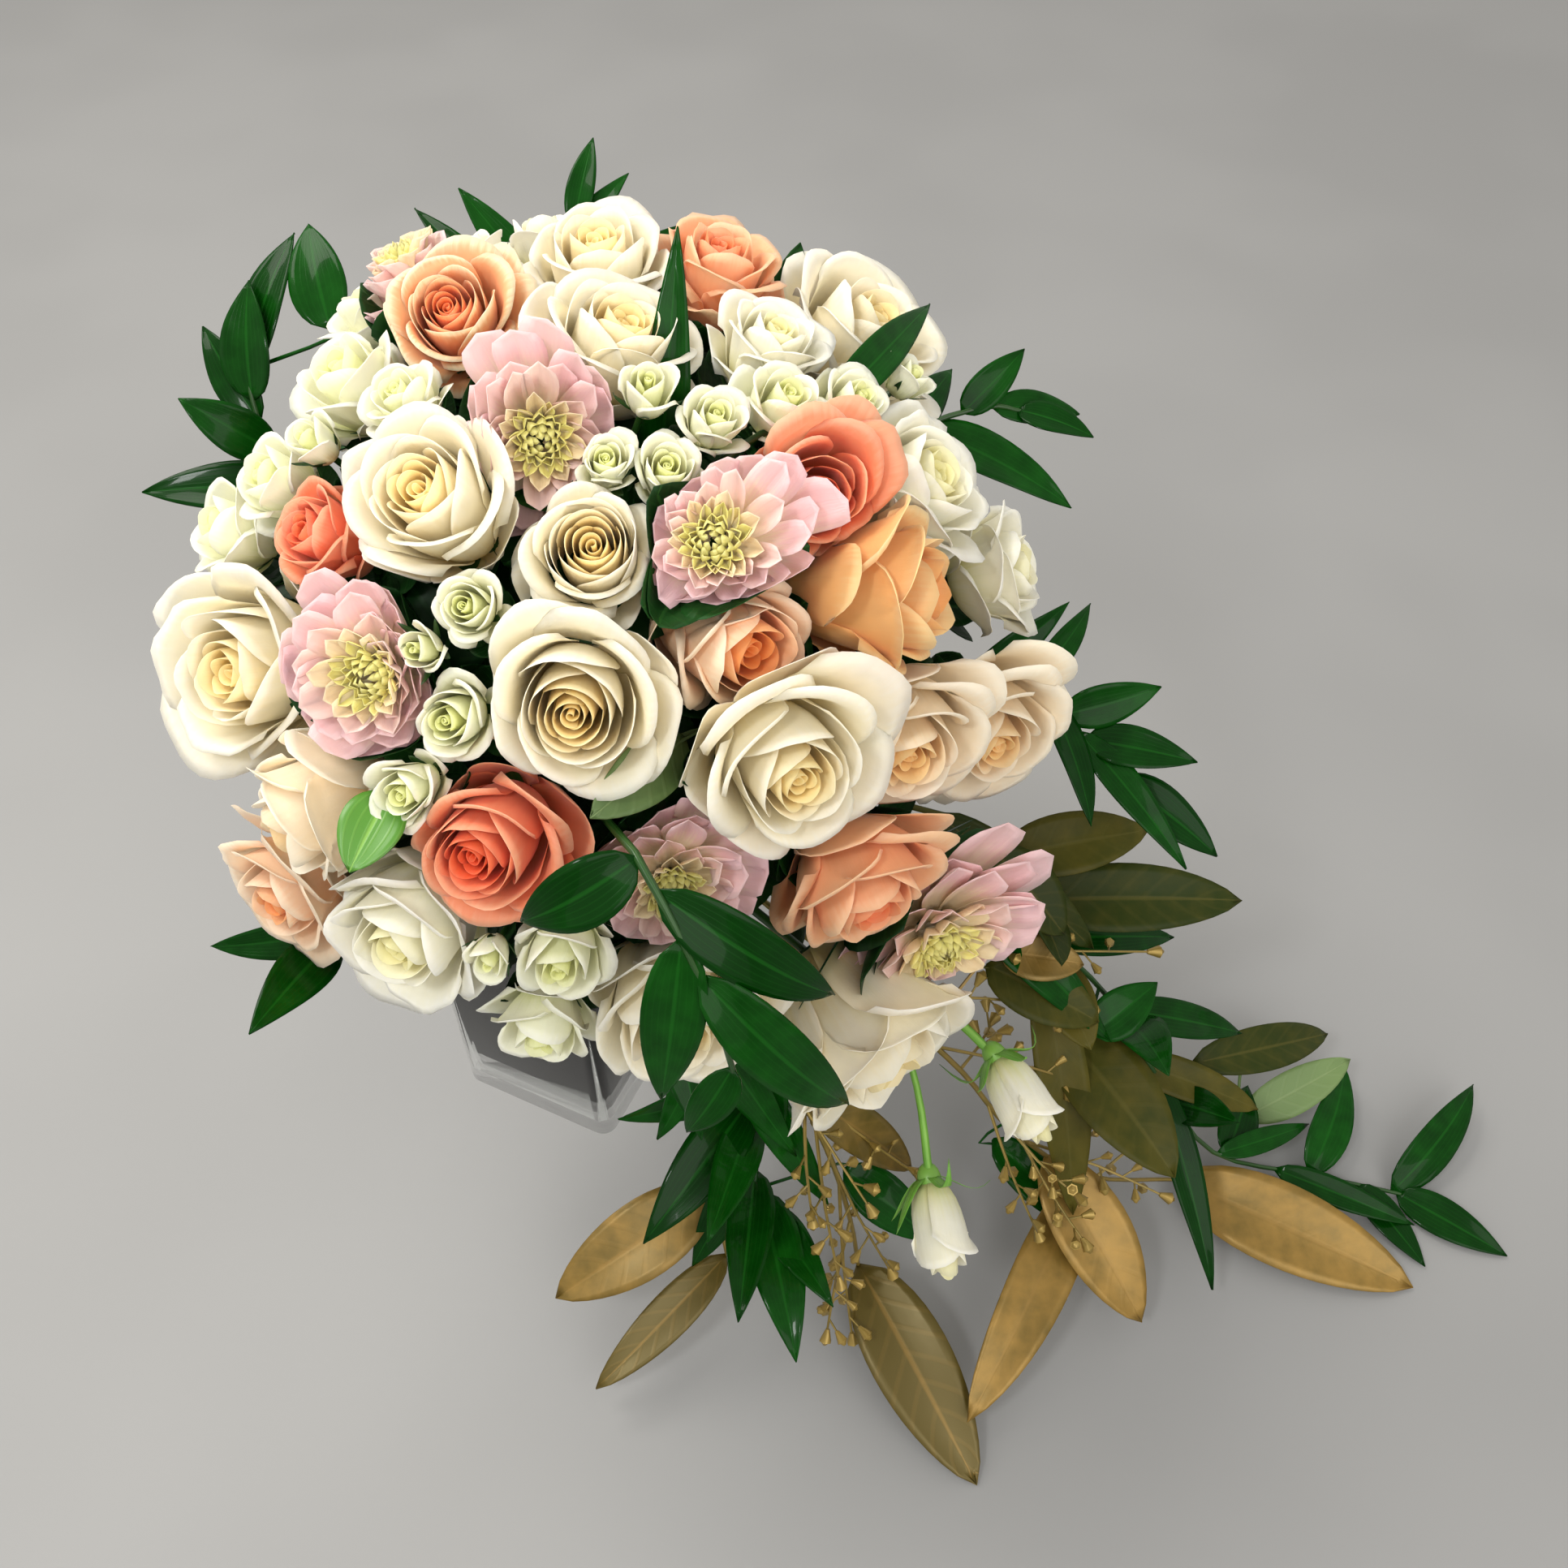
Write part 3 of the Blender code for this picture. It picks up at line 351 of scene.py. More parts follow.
# %% Leaf and stem colours
def leaf_finish(name, colours, lines, feather, gloss, relief, **sockets):
    """A finish from dark, light and rib colours, long lines or side veins, and a gloss."""
    inputs = dict(zip(("Dark", "Light", "Rib"), colours))
    inputs.update({"Lines": lines, "Feather": feather, "Gloss": gloss})
    return finish_from(name, LEAF_EFFECT, inputs, relief, **sockets)


RUSCUS = leaf_finish(
    "ruscus_leaf", ((0.001, 0.026, 0.001), (0.006, 0.084, 0.005), (0.009, 0.100, 0.008)),
    5.0, 0.0, 0.14, 0.0001, Coat_Weight=0.12, Coat_Roughness=0.05, Specular_IOR_Level=0.05,
)
FOLIAGE = leaf_finish(
    "rose_leaf", ((0.003, 0.026, 0.004), (0.014, 0.085, 0.012), (0.03, 0.13, 0.02)),
    0.0, 7.0, 0.42, 0.0002, Specular_IOR_Level=0.16,
)
OLIVE = leaf_finish(
    "olive_eucalyptus_leaf", ((0.020, 0.032, 0.004), (0.090, 0.074, 0.010), (0.095, 0.084, 0.018)),
    0.0, 8.0, 0.36, 0.0001, Specular_IOR_Level=0.12,
)
GOLD = leaf_finish(
    "gold_eucalyptus_leaf", ((0.10, 0.072, 0.010), (0.36, 0.210, 0.042), (0.28, 0.165, 0.034)),
    0.0, 8.0, 0.32, 0.0001, Metallic=0.35,
)
GREEN = leaf_finish(
    "green_stem", ((0.006, 0.034, 0.004), (0.022, 0.085, 0.010), (0.03, 0.10, 0.015)),
    3.0, 0.0, 0.30, 0.0002,
)
FRESH = leaf_finish(
    "fresh_green", ((0.07, 0.22, 0.02), (0.22, 0.50, 0.06), (0.30, 0.55, 0.10)),
    3.0, 0.0, 0.30, 0.0002,
)
PALE = leaf_finish(
    "pale_leaf_back", ((0.05, 0.10, 0.02), (0.14, 0.22, 0.07), (0.22, 0.30, 0.12)),
    0.0, 7.0, 0.50, 0.0003,
)
SEED = leaf_finish(
    "gold_seed", ((0.12, 0.10, 0.02), (0.38, 0.25, 0.06), (0.34, 0.24, 0.06)),
    0.0, 1.0, 0.28, 0.0002, Metallic=0.4,
)
print("finishes so far:", len(bpy.data.materials))

# %% [markdown]
# ## Where each flower stands
#
# The flowers press against each other in the dome, so a flower can't be modelled on its own and
# dropped in: its outer petals would cut through the next one. The plan is a list of heads, each
# with a direction on the dome, a width and a lift, and every pair of neighbours is parted by a
# plane. A head spreads its petals as far as those planes let it.

# %% Directions on the dome
FOAM_CENTRE = Vector((0.018, -0.008, 0.302))
FOAM_RADIUS = 0.045
DOME_CENTRE = Vector((0.054, 0.0, 0.340))
DOME_RADIUS = 0.190
RISE = radians(45.0)
SWING = radians(8.5)
FACE = Vector((sin(SWING) * cos(RISE), -cos(SWING) * cos(RISE), sin(RISE)))
FACE_RIGHT = Vector((cos(SWING), sin(SWING), 0.0))
FACE_UP = FACE.cross(FACE_RIGHT)
# The middle of a head, as a share of its height below the top and above the root.
BELOW_TOP = 0.42
ABOVE_ROOT = 0.58
WIDEST_SPREAD = 0.9


def polar(turn, tilt):
    """A direction on the dome: turn is anticlockwise from the right, tilt is away from the face."""
    turn = radians(turn)
    tilt = radians(tilt)
    across = FACE_RIGHT * cos(turn) + FACE_UP * sin(turn)
    return FACE * cos(tilt) + across * sin(tilt)


@dataclass
class Head:
    """One flower head: its kind, its place on the dome, its width in millimetres and its look."""

    kind: str
    turn: float
    tilt: float
    width: float
    tall: float = 0.80
    lift: float = 0.0
    face: tuple = ()
    gaze: tuple = ()

    def look(self):
        return polar(*self.face) if self.face else polar(self.turn, self.tilt)

    def top(self):
        return DOME_CENTRE + polar(self.turn, self.tilt) * (DOME_RADIUS + self.lift * MM)

    def half(self):
        return self.width * MM / 2

    def height(self):
        return self.width * self.tall * MM

    def middle(self):
        return self.top() - self.look() * self.height() * BELOW_TOP

    def axis(self):
        """The way the petals open, turned about the middle where it differs from the look."""
        return polar(*self.gaze) if self.gaze else self.look()

    def root(self):
        return self.middle() - self.axis() * self.height() * ABOVE_ROOT

    def heading(self):
        return (self.middle() - FOAM_CENTRE).normalized()

    def away(self):
        return (self.middle() - FOAM_CENTRE).length

    def spread(self):
        return asin(min(WIDEST_SPREAD, self.half() / self.away()))


print("dome face looks along", [round(value, 2) for value in FACE])

# %% The list of flowers
# Node, finish, ruffle of the rims, then the head.
ROSES = (
    ("rose_ivory_top", "ivory", 0.3, Head("rose_side", 87, 63, 56, gaze=(87, 44))),
    ("rose_ivory_upper", "ivory", 0.3, Head("rose", 82, 40, 58, face=(60, 44))),
    ("rose_ivory_upper_right", "ivory", 0.3, Head("rose_side", 47, 73, 57, tall=0.9, lift=5, gaze=(40, 48))),
    ("rose_ivory_upper_middle", "white", 0.6, Head("rose_side", 58, 47, 38, tall=0.9, lift=-2)),
    ("rose_ivory_left_middle", "ivory", 0.3, Head("rose", 134, 28, 64, lift=6)),
    ("rose_ivory_centre", "ivory", 0.3, Head("rose", 98, 12, 62, lift=2)),
    ("rose_ivory_left", "ivory", 0.9, Head("rose", 175, 56, 70, face=(170, 64), gaze=(185, 36))),
    ("rose_ivory_lower_middle", "ivory", 0.3, Head("rose", 225, 8, 62, lift=6, face=(250, 15))),
    ("rose_ivory_right_middle", "ivory", 0.3, Head("rose", 318, 23, 60, lift=9, face=(300, 34))),
    ("rose_blush_right", "cream", 0.3,
     Head("rose_side", 335, 40, 58, lift=-3, face=(310, 48), gaze=(285, 44))),
    ("rose_blush_far_right", "cream", 0.5, Head("rose_side", 343, 61, 51, gaze=(290, 44))),
    ("rose_white_ruffled", "white", 1.5, Head("rose", 24, 49, 62)),
    ("rose_white_low_left", "white", 0.8, Head("rose_side", 226, 49, 62)),
    ("rose_ivory_low", "ivory", 0.7,
     Head("rose_side", 271, 55, 68, tall=0.9, lift=4, face=(265, 72), gaze=(268, 44))),
    ("rose_ivory_trail", "ivory", 0.4,
     Head("rose_cup", 298, 75, 72, tall=1.0, lift=36, face=(308, 78), gaze=(300, 64))),
    ("rose_cream_edge", "white", 0.9, Head("rose_side", 7, 66, 44)),
    ("rose_peach_upper_left", "coral_yellow", 0.4, Head("rose", 110, 52, 46, lift=3, gaze=(110, 14))),
    ("rose_peach_upper", "peach", 1.3, Head("rose_side", 70, 66, 46, gaze=(70, 50))),
    ("rose_coral_right", "coral", 0.9, Head("rose_side", 33, 30, 48, lift=4, gaze=(300, 8))),
    ("rose_orange_right", "orange", 0.4, Head("rose_side", 5, 39, 72, tall=0.92, lift=2, face=(352, 72))),
    ("rose_peach_centre", "blush", 0.3,
     Head("rose_side", 349, 14, 76, lift=-4, face=(300, 38), gaze=(318, 40))),
    ("rose_coral_left", "coral", 0.4, Head("rose_side", 152, 42, 44, lift=-4)),
    ("rose_coral_low", "coral", 0.4, Head("rose", 227, 28, 60, lift=2)),
    ("rose_peach_low_right", "peach", 0.3, Head("rose", 308, 48, 56, face=(290, 60))),
    ("rose_peach_side", "cream", 0.3, Head("rose_side", 202, 50, 52, tall=1.0, face=(208, 74))),
    ("rose_peach_low_left", "blush", 0.8, Head("rose_side", 209, 75, 46, gaze=(215, 56))),
    ("rose_ivory_back", "ivory", 0.4, Head("rose_side", 62, 100, 58, lift=-12)),
)
# Node and head. All the dahlias are pink.
DAHLIAS = (
    ("dahlia_centre", Head("dahlia", 44, 15, 70, tall=0.42, lift=12, gaze=(150, 10))),
    ("dahlia_upper", Head("dahlia_side", 104, 25, 68, tall=0.46, lift=-2, face=(280, 6), gaze=(290, 18))),
    ("dahlia_left", Head("dahlia_side", 176, 28, 76, tall=0.40, lift=2, face=(150, 34), gaze=(200, 20))),
    ("dahlia_right", Head("dahlia_side", 312, 69, 84, tall=0.36, lift=14, face=(316, 58), gaze=(288, 40))),
    ("dahlia_low", Head("dahlia_side", 276, 29, 60, tall=0.42, lift=-8)),
    ("dahlia_top_left", Head("dahlia_side", 112, 71, 80, tall=0.45, lift=9, gaze=(108, 66))),
)
print("roses:", len(ROSES), "dahlias:", len(DAHLIAS))

# %% The list of spray roses
# Small heads on one forked stem: kind, turn, tilt, width, then tall and lift where they differ.
# The first head is on the main stem.
SPRAYS = (
    ("spray_upper_left", "lime", (
        ("small", 128, 54, 42), ("small", 119, 74, 34), ("bud", 139, 48, 22), ("small", 124, 41, 26),
    )),
    ("spray_left", "lime", (("small", 156, 62, 38), ("small", 147, 53, 34))),
    ("spray_upper", "lime", (("small", 88, 21, 26), ("small", 70, 21, 30), ("bud", 78, 31, 24))),
    ("spray_upper_right", "lime", (
        ("small", 51, 37, 32), ("small", 41, 45, 28), ("bud", 38, 60, 20), ("small", 62, 29, 26),
    )),
    ("spray_left_middle", "lime", (
        ("small", 194, 20, 34), ("bud", 172, 22, 22), ("small", 206, 29, 30),
        ("small", 156, 17, 26, 0.80, 2),
    )),
    ("spray_low", "lime", (("small", 252, 39, 36), ("bud", 240, 41, 20), ("small", 252, 57, 36))),
    ("spray_top", "white", (("small", 94, 77, 34), ("bud", 103, 70, 24))),
    ("spray_back_left", "white", (
        ("small", 128, 100, 44, 0.80, -18), ("small", 150, 116, 42, 0.80, -26),
        ("small", 116, 124, 42, 0.80, -32),
    )),
    ("spray_back_right", "peach", (
        ("small", 86, 120, 44, 0.80, -26), ("small", 32, 106, 44, 0.80, -18),
        ("small", 52, 130, 44, 0.80, -32),
    )),
)
SMOOTH_RIM = 0.0
SPRAY_RUFFLE = 0.4
FLOWERS = [(node, finish, ruffle, (head,)) for node, finish, ruffle, head in ROSES]
FLOWERS += [(node, "pink", SMOOTH_RIM, (head,)) for node, head in DAHLIAS]
for node, finish, rows in SPRAYS:
    FLOWERS.append((node, finish, SPRAY_RUFFLE, [Head(*row) for row in rows]))
EVERY_HEAD = [head for _, _, _, heads in FLOWERS for head in heads]
print("flower nodes:", len(FLOWERS), "heads:", len(EVERY_HEAD))

# %% [markdown]
# ## The leafy stems
#
# Ruscus stands out round the dome and trails down to the table, and eucalyptus hangs beside it.
# Every leaf is listed one by one, because they all lie where the photo of the real bouquet
# shows them: a random spread would be quicker, but the trail would lose its line. A leaf needs
# only where it leaves its stem, where its tip ends and how wide it is.

# %% The list of ruscus stems
@dataclass
class Leaf:
    """A leaf from a share of its stem's length to a tip in millimetres."""

    station: float
    tip: tuple
    width: float
    arch: float = 0.06
    cup: float = 0.18
    tone: float = -1.0


# Node, kind, stem points in millimetres after the foam, leaves, seeded twigs.
RUSCUS_SPRIGS = (
    ("ruscus_top", "ruscus", ((20, 112, 418), (22, 140, 446), (32, 160, 462)), (
        (0.99, (40, 190, 487), 14), (0.9, (56, 182, 474), 15), (0.8, (-20, 163, 477), 20),
        (0.7, (-44, 172, 462), 20), (0.75, (80, 178, 450), 20), (0.85, (14, 196, 440), 20),
    ), ()),
    ("ruscus_left", "ruscus", ((-62, 42, 362), (-90, 58, 388), (-106, 72, 410), (-112, 88, 432)), (
        (0.99, (-90, 134, 472), 24), (0.93, (-108, 112, 462), 27), (0.88, (-134, 110, 440), 20),
        (0.8, (-138, 70, 430), 23), (0.7, (-160, 50, 394), 25), (0.62, (-146, 12, 350), 20),
        (0.64, (-120, 96, 380), 22),
    ), ()),
    ("ruscus_right_high", "ruscus", ((140, 72, 368), (185, 92, 394), (222, 102, 402), (240, 104, 398)), (
        (0.88, (240, 122, 420), 18), (0.99, (272, 90, 394), 17), (0.94, (270, 118, 386), 18),
        (0.8, (262, 66, 372), 26), (0.72, (210, 146, 392), 22),
    ), ()),
    ("ruscus_right", "ruscus", ((190, 16, 312), (240, 10, 314), (264, -6, 300), (288, -24, 280)), (
        (0.76, (276, 50, 326), 17), (0.84, (306, 8, 312), 22), (0.9, (322, -22, 292), 22),
        (0.8, (270, -52, 282), 20), (0.99, (334, -50, 256), 24), (0.66, (262, 36, 340), 16),
        (0.88, (316, -62, 262), 18),
    ), ()),
    ("ruscus_low_left", "ruscus", ((-58, -92, 272), (-76, -108, 266)), (
        (0.97, (-92, -166, 288), 25), (0.8, (-126, -66, 280), 20), (0.9, (-128, -108, 266), 20),
    ), ()),
    ("ruscus_front", "ruscus", ((79, -186, 436), (92, -204, 420), (104, -216, 388), (110, -220, 352)), (
        (0.68, (38, -192, 406), 25, 0.16), (0.72, (146, -196, 366), 24, 0.14),
        (0.78, (84, -226, 344), 24), (0.83, (152, -214, 318), 25, 0.12), (0.99, (92, -228, 322), 18),
    ), ()),
    ("ruscus_front_low", "ruscus", (
        (78, -100, 226), (102, -114, 196), (112, -120, 150), (112, -134, 106), (120, -150, 80),
    ), (
        (0.72, (60, -186, 126), 30, 0.1), (0.95, (134, -228, 84), 30, 0.1),
        (0.99, (152, -206, 98), 22, 0.1), (0.66, (46, -132, 150), 22), (0.86, (80, -170, 60), 22),
        (0.42, (134, -152, 150), 24), (0.34, (90, -164, 190), 26), (0.58, (150, -162, 118), 22),
        (0.5, (66, -144, 152), 20), (0.9, (106, -216, 104), 26), (0.76, (92, -196, 150), 24),
    ), ()),
    ("ruscus_trail", "ruscus", (
        (208, -44, 226), (256, -50, 192), (298, -58, 146), (334, -74, 86), (372, -92, 34),
        (436, -94, 9), (488, -104, 4),
    ), (
        (0.58, (322, -108, 150), 30, 0.12), (0.7, (370, -106, 96), 24), (0.8, (402, -46, 28), 25),
        (0.66, (360, -168, 24), 20), (0.9, (466, -28, 18), 26, 0.1), (0.95, (488, -146, 2.5), 20, 0.04),
        (0.985, (540, -40, 18), 25, 0.1), (0.99, (536, -140, 2.5), 24, 0.04),
        (0.34, (294, -92, 156), 26), (0.56, (386, -44, 84), 22), (0.79, (436, -66, 18), 15),
        (0.86, (486, -124, 8), 18, 0.04), (0.44, (338, -24, 150), 22),
    ), ()),
    ("ruscus_dome", "ruscus", ((98, -60, 490), (120, -42, 496), (146, -12, 484)), (
        (0.52, (90, 12, 546), 20, 0.06, 0.2), (0.99, (188, 68, 478), 17, 0.05, 0.3),
    ), ()),
    ("ruscus_collar", "ruscus", ((10, 96, 268), (16, 128, 262)), (
        (0.99, (20, 186, 272), 26), (0.86, (-30, 172, 290), 26), (0.86, (70, 170, 286), 26),
        (0.7, (-56, 128, 262), 26), (0.7, (88, 122, 258), 26),
    ), ()),
)
print("ruscus stems:", len(RUSCUS_SPRIGS))

# %% The list of eucalyptus stems
EUCALYPTUS_SPRIGS = (
    ("eucalyptus_olive", "olive", (
        (212, -22, 250), (240, -26, 218), (258, -46, 178), (276, -68, 124), (330, -62, 84),
        (392, -46, 54),
    ), (
        (0.46, (312, -12, 228), 34), (0.52, (362, -34, 198), 38), (0.5, (262, -84, 214), 32),
        (0.6, (282, -100, 162), 32, 0.1), (0.7, (328, -142, 106), 48, 0.08),
        (0.92, (452, -18, 40), 28, 0.08), (0.36, (284, -58, 190), 28), (0.6, (282, -142, 62), 30, 0.08),
        (0.8, (392, -82, 66), 24),
    ), ()),
    ("eucalyptus_gold_right", "gold", (
        (180, -96, 196), (218, -106, 150), (248, -112, 100), (296, -112, 46), (356, -98, 12),
    ), (
        (0.995, (478, -158, 2.5), 50, 0.05), (0.76, (320, -184, 20), 44),
        (0.84, (222, -238, 26), 36, 0.05),
    ), (
        (0.55, (236, -76, 150)), (0.66, (278, -152, 104)), (0.8, (300, -84, 84)),
        (0.28, (262, -62, 178)), (0.4, (284, -78, 164)), (0.34, (316, -56, 184)),
        (0.5, (292, -96, 116)), (0.62, (262, -154, 64)), (0.72, (334, -130, 58)),
        (0.86, (356, -76, 54)), (0.7, (286, -160, 66)),
    )),
    ("eucalyptus_gold_front", "gold", (
        (120, -118, 206), (148, -146, 150), (162, -158, 90), (168, -160, 36),
    ), (
        (0.99, (227, -262, 2.5), 46, 0.05, 0.18, 0.0), (0.55, (194, -136, 104), 26),
    ), (
        (0.58, (142, -172, 122)), (0.84, (150, -200, 44)), (0.42, (170, -172, 134)),
        (0.66, (184, -172, 58)), (0.74, (164, -196, 30)), (0.52, (196, -146, 116)),
        (0.62, (156, -188, 84)),
    )),
    ("eucalyptus_gold_left", "gold", ((60, -104, 218), (82, -122, 150), (90, -138, 90), (98, -158, 42)), (
        (0.84, (10, -186, 58), 42), (0.99, (30, -220, 22), 25),
    ), ()),
)
SPRIGS = RUSCUS_SPRIGS + EUCALYPTUS_SPRIGS
print("leafy stems:", len(SPRIGS), "leaves:", sum(len(leaves) for _, _, _, leaves, _ in SPRIGS))

# %% Single leaves and rosebuds
# Leaves between the flowers and along the trail: what carries them, base, tip, width, finish, tone.
LOOSE_LEAVES = (
    ("rose_peach_side", (-12, -145, 418), (-23, -174, 410), 24, FRESH, 0.1),
    ("rose_coral_low", (92, -124, 424), (62, -166, 430), 24, PALE, 0.5),
    ("rose_ivory_upper_right", (118, 84, 430), (135, 109, 482), 22, FOLIAGE, 0.5),
    ("ruscus_trail", (242, -102, 70), (293, -139, 32), 26, RUSCUS, 0.5),
    ("ruscus_trail", (286, -84, 150), (322, -59, 160), 26, RUSCUS, 0.5),
    ("ruscus_front_low", (105, -102, 215), (126, -146, 150), 30, RUSCUS, 0.5),
    ("ruscus_front_low", (159, -134, 100), (207, -156, 60), 28, RUSCUS, 0.5),
    ("eucalyptus_olive", (229, -68, 190), (286, -89, 170), 34, OLIVE, 0.5),
    ("eucalyptus_olive", (229, -38, 246), (265, -67, 215), 32, OLIVE, 0.3),
    ("eucalyptus_gold_right", (235, -67, 200), (277, -71, 195), 26, GOLD, 0.5),
    ("eucalyptus_olive", (398, -62, 18), (464, -32, 34), 27, PALE, 0.9),
    ("ruscus_left", (-72, 96, 448), (-84, 138, 474), 28, RUSCUS, 0.5),
)
# Two half-open rosebuds on one forked stem, hanging in the trail.
BUD_STEM = ((168, -92, 226), (204, -108, 212), (228, -128, 202))
BUD_FORK = ((174, -95, 224), (192, -128, 176), (199, -160, 140))
BUD_TIPS = ((250, -164, 188), (207, -202, 120))
BUD_WIDTH = 31.0


def in_metres(point):
    return Vector(point) * MM


LEAFY_HEADINGS = [(in_metres(points[0]) - FOAM_CENTRE).normalized() for _, _, points, _, _ in SPRIGS]
LEAFY_HEADINGS.append((in_metres(BUD_STEM[0]) - FOAM_CENTRE).normalized())
print("stems beside the flowers:", len(LEAFY_HEADINGS), "single leaves:", len(LOOSE_LEAVES))

# %% [markdown]
# ## How the flowers share the space
#
# Between two neighbours stands a plane through the foam's middle, nearer to the smaller one.
# Where one is lifted above the other, the plane slants and the higher one leans over. A flower's
# reach in each direction is how wide its rims can be before they meet a plane.

# %% Planes between neighbours
CELL_REACH = radians(75.0)
STEM_CLEAR = radians(1.25)
# In millimetres: the lift that slants a plane by one, and the lift that takes a head clear.
SLANT_LIFT = 20.0
HIGH_LIFT = 20.0
MOST_SLANT = 1.1


def plane_towards(own, other, share, slant=0.0, away=0.0):
    """A plane through the foam's middle, at a share of the way from one heading to another."""
    between = own.slerp(other, share)
    normal = (other - between * other.dot(between)).normalized()
    return FOAM_CENTRE + between * away, (normal - between * slant).normalized()


def cell_planes(head):
    """The planes that part a head from its neighbours and from the stems near it."""
    own = head.heading()
    planes = []
    for other in EVERY_HEAD:
        heading = other.heading()
        apart = own.angle(heading)
        if other is head or apart > CELL_REACH or head.lift > other.lift + HIGH_LIFT:
            continue
        share = head.spread() / (head.spread() + other.spread())
        slant = max(-MOST_SLANT, min(MOST_SLANT, (head.lift - other.lift) / SLANT_LIFT))
        planes.append(plane_towards(own, heading, share, slant, (head.away() + other.away()) / 2))
        planes.append(plane_towards(own, heading, 1.0 - STEM_CLEAR / apart))
    for heading in LEAFY_HEADINGS:
        apart = own.angle(heading)
        if apart < CELL_REACH:
            planes.append(plane_towards(own, heading, 1.0 - STEM_CLEAR / apart))
    return planes


print("planes round the first rose:", len(cell_planes(EVERY_HEAD[0])))

# %% Reach of the rims
GAP = 0.0003
FULLNESS = 1.28
LEAST_REACH = 0.4
OVERLAP = 0.18
REACH_STEPS = 36
SHIFTS = range(-4, 5)
LEAST_RATE = 0.02
RIM_MARGIN = 1.02

# Rims and hollows of the solid heads, as shares of half the width and of the height.
SOLID_ROWS = {
    "rose": ((0.20, 0.76), (0.36, 0.99), (0.43, 0.72), (0.68, 0.96), (0.70, 0.60), (1.24, 0.78)),
    "small": ((0.26, 0.98), (0.38, 0.74), (0.66, 0.94), (0.62, 0.56), (1.10, 0.66)),
    "bud": ((0.50, 0.92), (0.92, 0.62), (1.0, 0.38)),
    "dahlia": (
        (0.19, 0.92), (0.23, 0.66), (0.50, 1.00), (0.36, 0.46), (0.80, 0.80), (0.50, 0.30), (1.08, 0.48),
    ),
}


def head_reaches(head, turn, planes):
    """How far the rims spread each way, as shares of the half width."""
    rows = SOLID_ROWS[head.kind.split("_")[0]]
    reaches = []
    for step in range(REACH_STEPS):
        angle = tau * step / REACH_STEPS
        across = turn @ Vector((cos(angle), sin(angle), 0.0))
        reach = FULLNESS * 4
        for radius, height in rows:
            axis = head.root() + head.axis() * head.height() * height
            for origin, normal in planes:
                rate = across.dot(normal)
                room = (origin - axis).dot(normal) - GAP
                if rate > LEAST_RATE and room > 0:
                    reach = min(reach, room / (rate * head.half() * radius * RIM_MARGIN))
        # The eighth power lets the reach level off at its fullest without a sharp corner.
        share = reach / FULLNESS
        reaches.append(max(reach / (1.0 + share ** 8) ** 0.125, LEAST_REACH))
    rounded = []
    for step, reach in enumerate(reaches):
        near = [reaches[(step + shift) % REACH_STEPS] for shift in SHIFTS]
        rounded.append(min(sum(near) / len(near), reach + OVERLAP))
    return rounded


def reach_at(reaches, angle):
    """The reach at any angle, from the two steps beside it."""
    place = angle / tau % 1.0 * len(reaches)
    step = int(place)
    after = reaches[(step + 1) % len(reaches)]
    return reaches[step % len(reaches)] + (after - reaches[step % len(reaches)]) * (place - step)


print("steps round a head:", REACH_STEPS)

# %% Pressing a head into its space
SETTLE_ROUNDS = 3
SOFT_START = 0.7
OVERLAP_ROOM = 0.005


def settle(corners, head, turn, planes):
    """Turns a head's corners to its place on the dome, then draws back what would pass a plane."""
    places = np.array([corner.co for corner in corners]).reshape(-1, 3)
    points = places @ np.array(turn).T + np.array(head.root())
    middle = np.array(head.middle())
    for _ in range(SETTLE_ROUNDS):
        for origin, normal in planes:
            normal = np.array(normal)
            room = max((np.array(origin) - middle) @ normal + OVERLAP_ROOM, OVERLAP_ROOM)
            start = room * SOFT_START
            past = (points - middle) @ normal - start
            allowed = room - start
            drawn = allowed * (1.0 - np.exp(-np.maximum(past, 0.0) / allowed))
            points += np.where(past > 0, drawn - past, 0.0)[:, None] * normal
    for corner, point in zip(corners, points):
        corner.co = point


print("petals of neighbours may overlap by", OVERLAP_ROOM / MM, "mm")

# %% [markdown]
# ## Thin sheets
#
# Petals, sepals and leaves are all thin sheets. Blender's grid operator makes a flat one, and
# each corner is then moved to where the shape puts it, which keeps the faces in neat rows for
# smooth shading. The corner's own place on the flat grid is stored first, for the finishes.
# A Solidify modifier then gives the bent sheets their thickness and closes them all round. The
# operator of the same name stretches corners that are folded tightly, and petals are full of
# those, so the modifier's plain mode is the safer way here.

# %% Sheet helpers
STORED = ("across", "along", "depth")
PETAL_THICK = 0.0002
WELD = 0.00002
LEAST_EDGE = 0.00001
SHARP_FROM = radians(60.0)
# Each flower's materials by number: petals, then stems, then leaves.
STEM_SLOT = 1
LEAF_SLOT = 2


def new_mesh():
    """An empty mesh whose corners can store the three numbers."""
    bm = bmesh.new()
    for name in STORED:
        bm.verts.layers.float.new(name)
    return bm


def sheet(bm, columns, rows, shape, depth, slot=0):
    """A flat grid whose corners move to shape(u, v), for u from -1 to 1 and v from 0 to 1."""
    across, along, deep = (bm.verts.layers.float[name] for name in STORED)
    corners = bmesh.ops.create_grid(bm, x_segments=columns, y_segments=rows, size=1.0)["verts"]
    for corner in corners:
        u = corner.co.x
        v = (corner.co.y + 1.0) / 2.0
        corner[across] = u
        corner[along] = v
        corner[deep] = depth
        corner.co = shape(u, v)
    if slot:
        for face in {face for corner in corners for face in corner.link_faces}:
            face.material_index = slot
    return corners


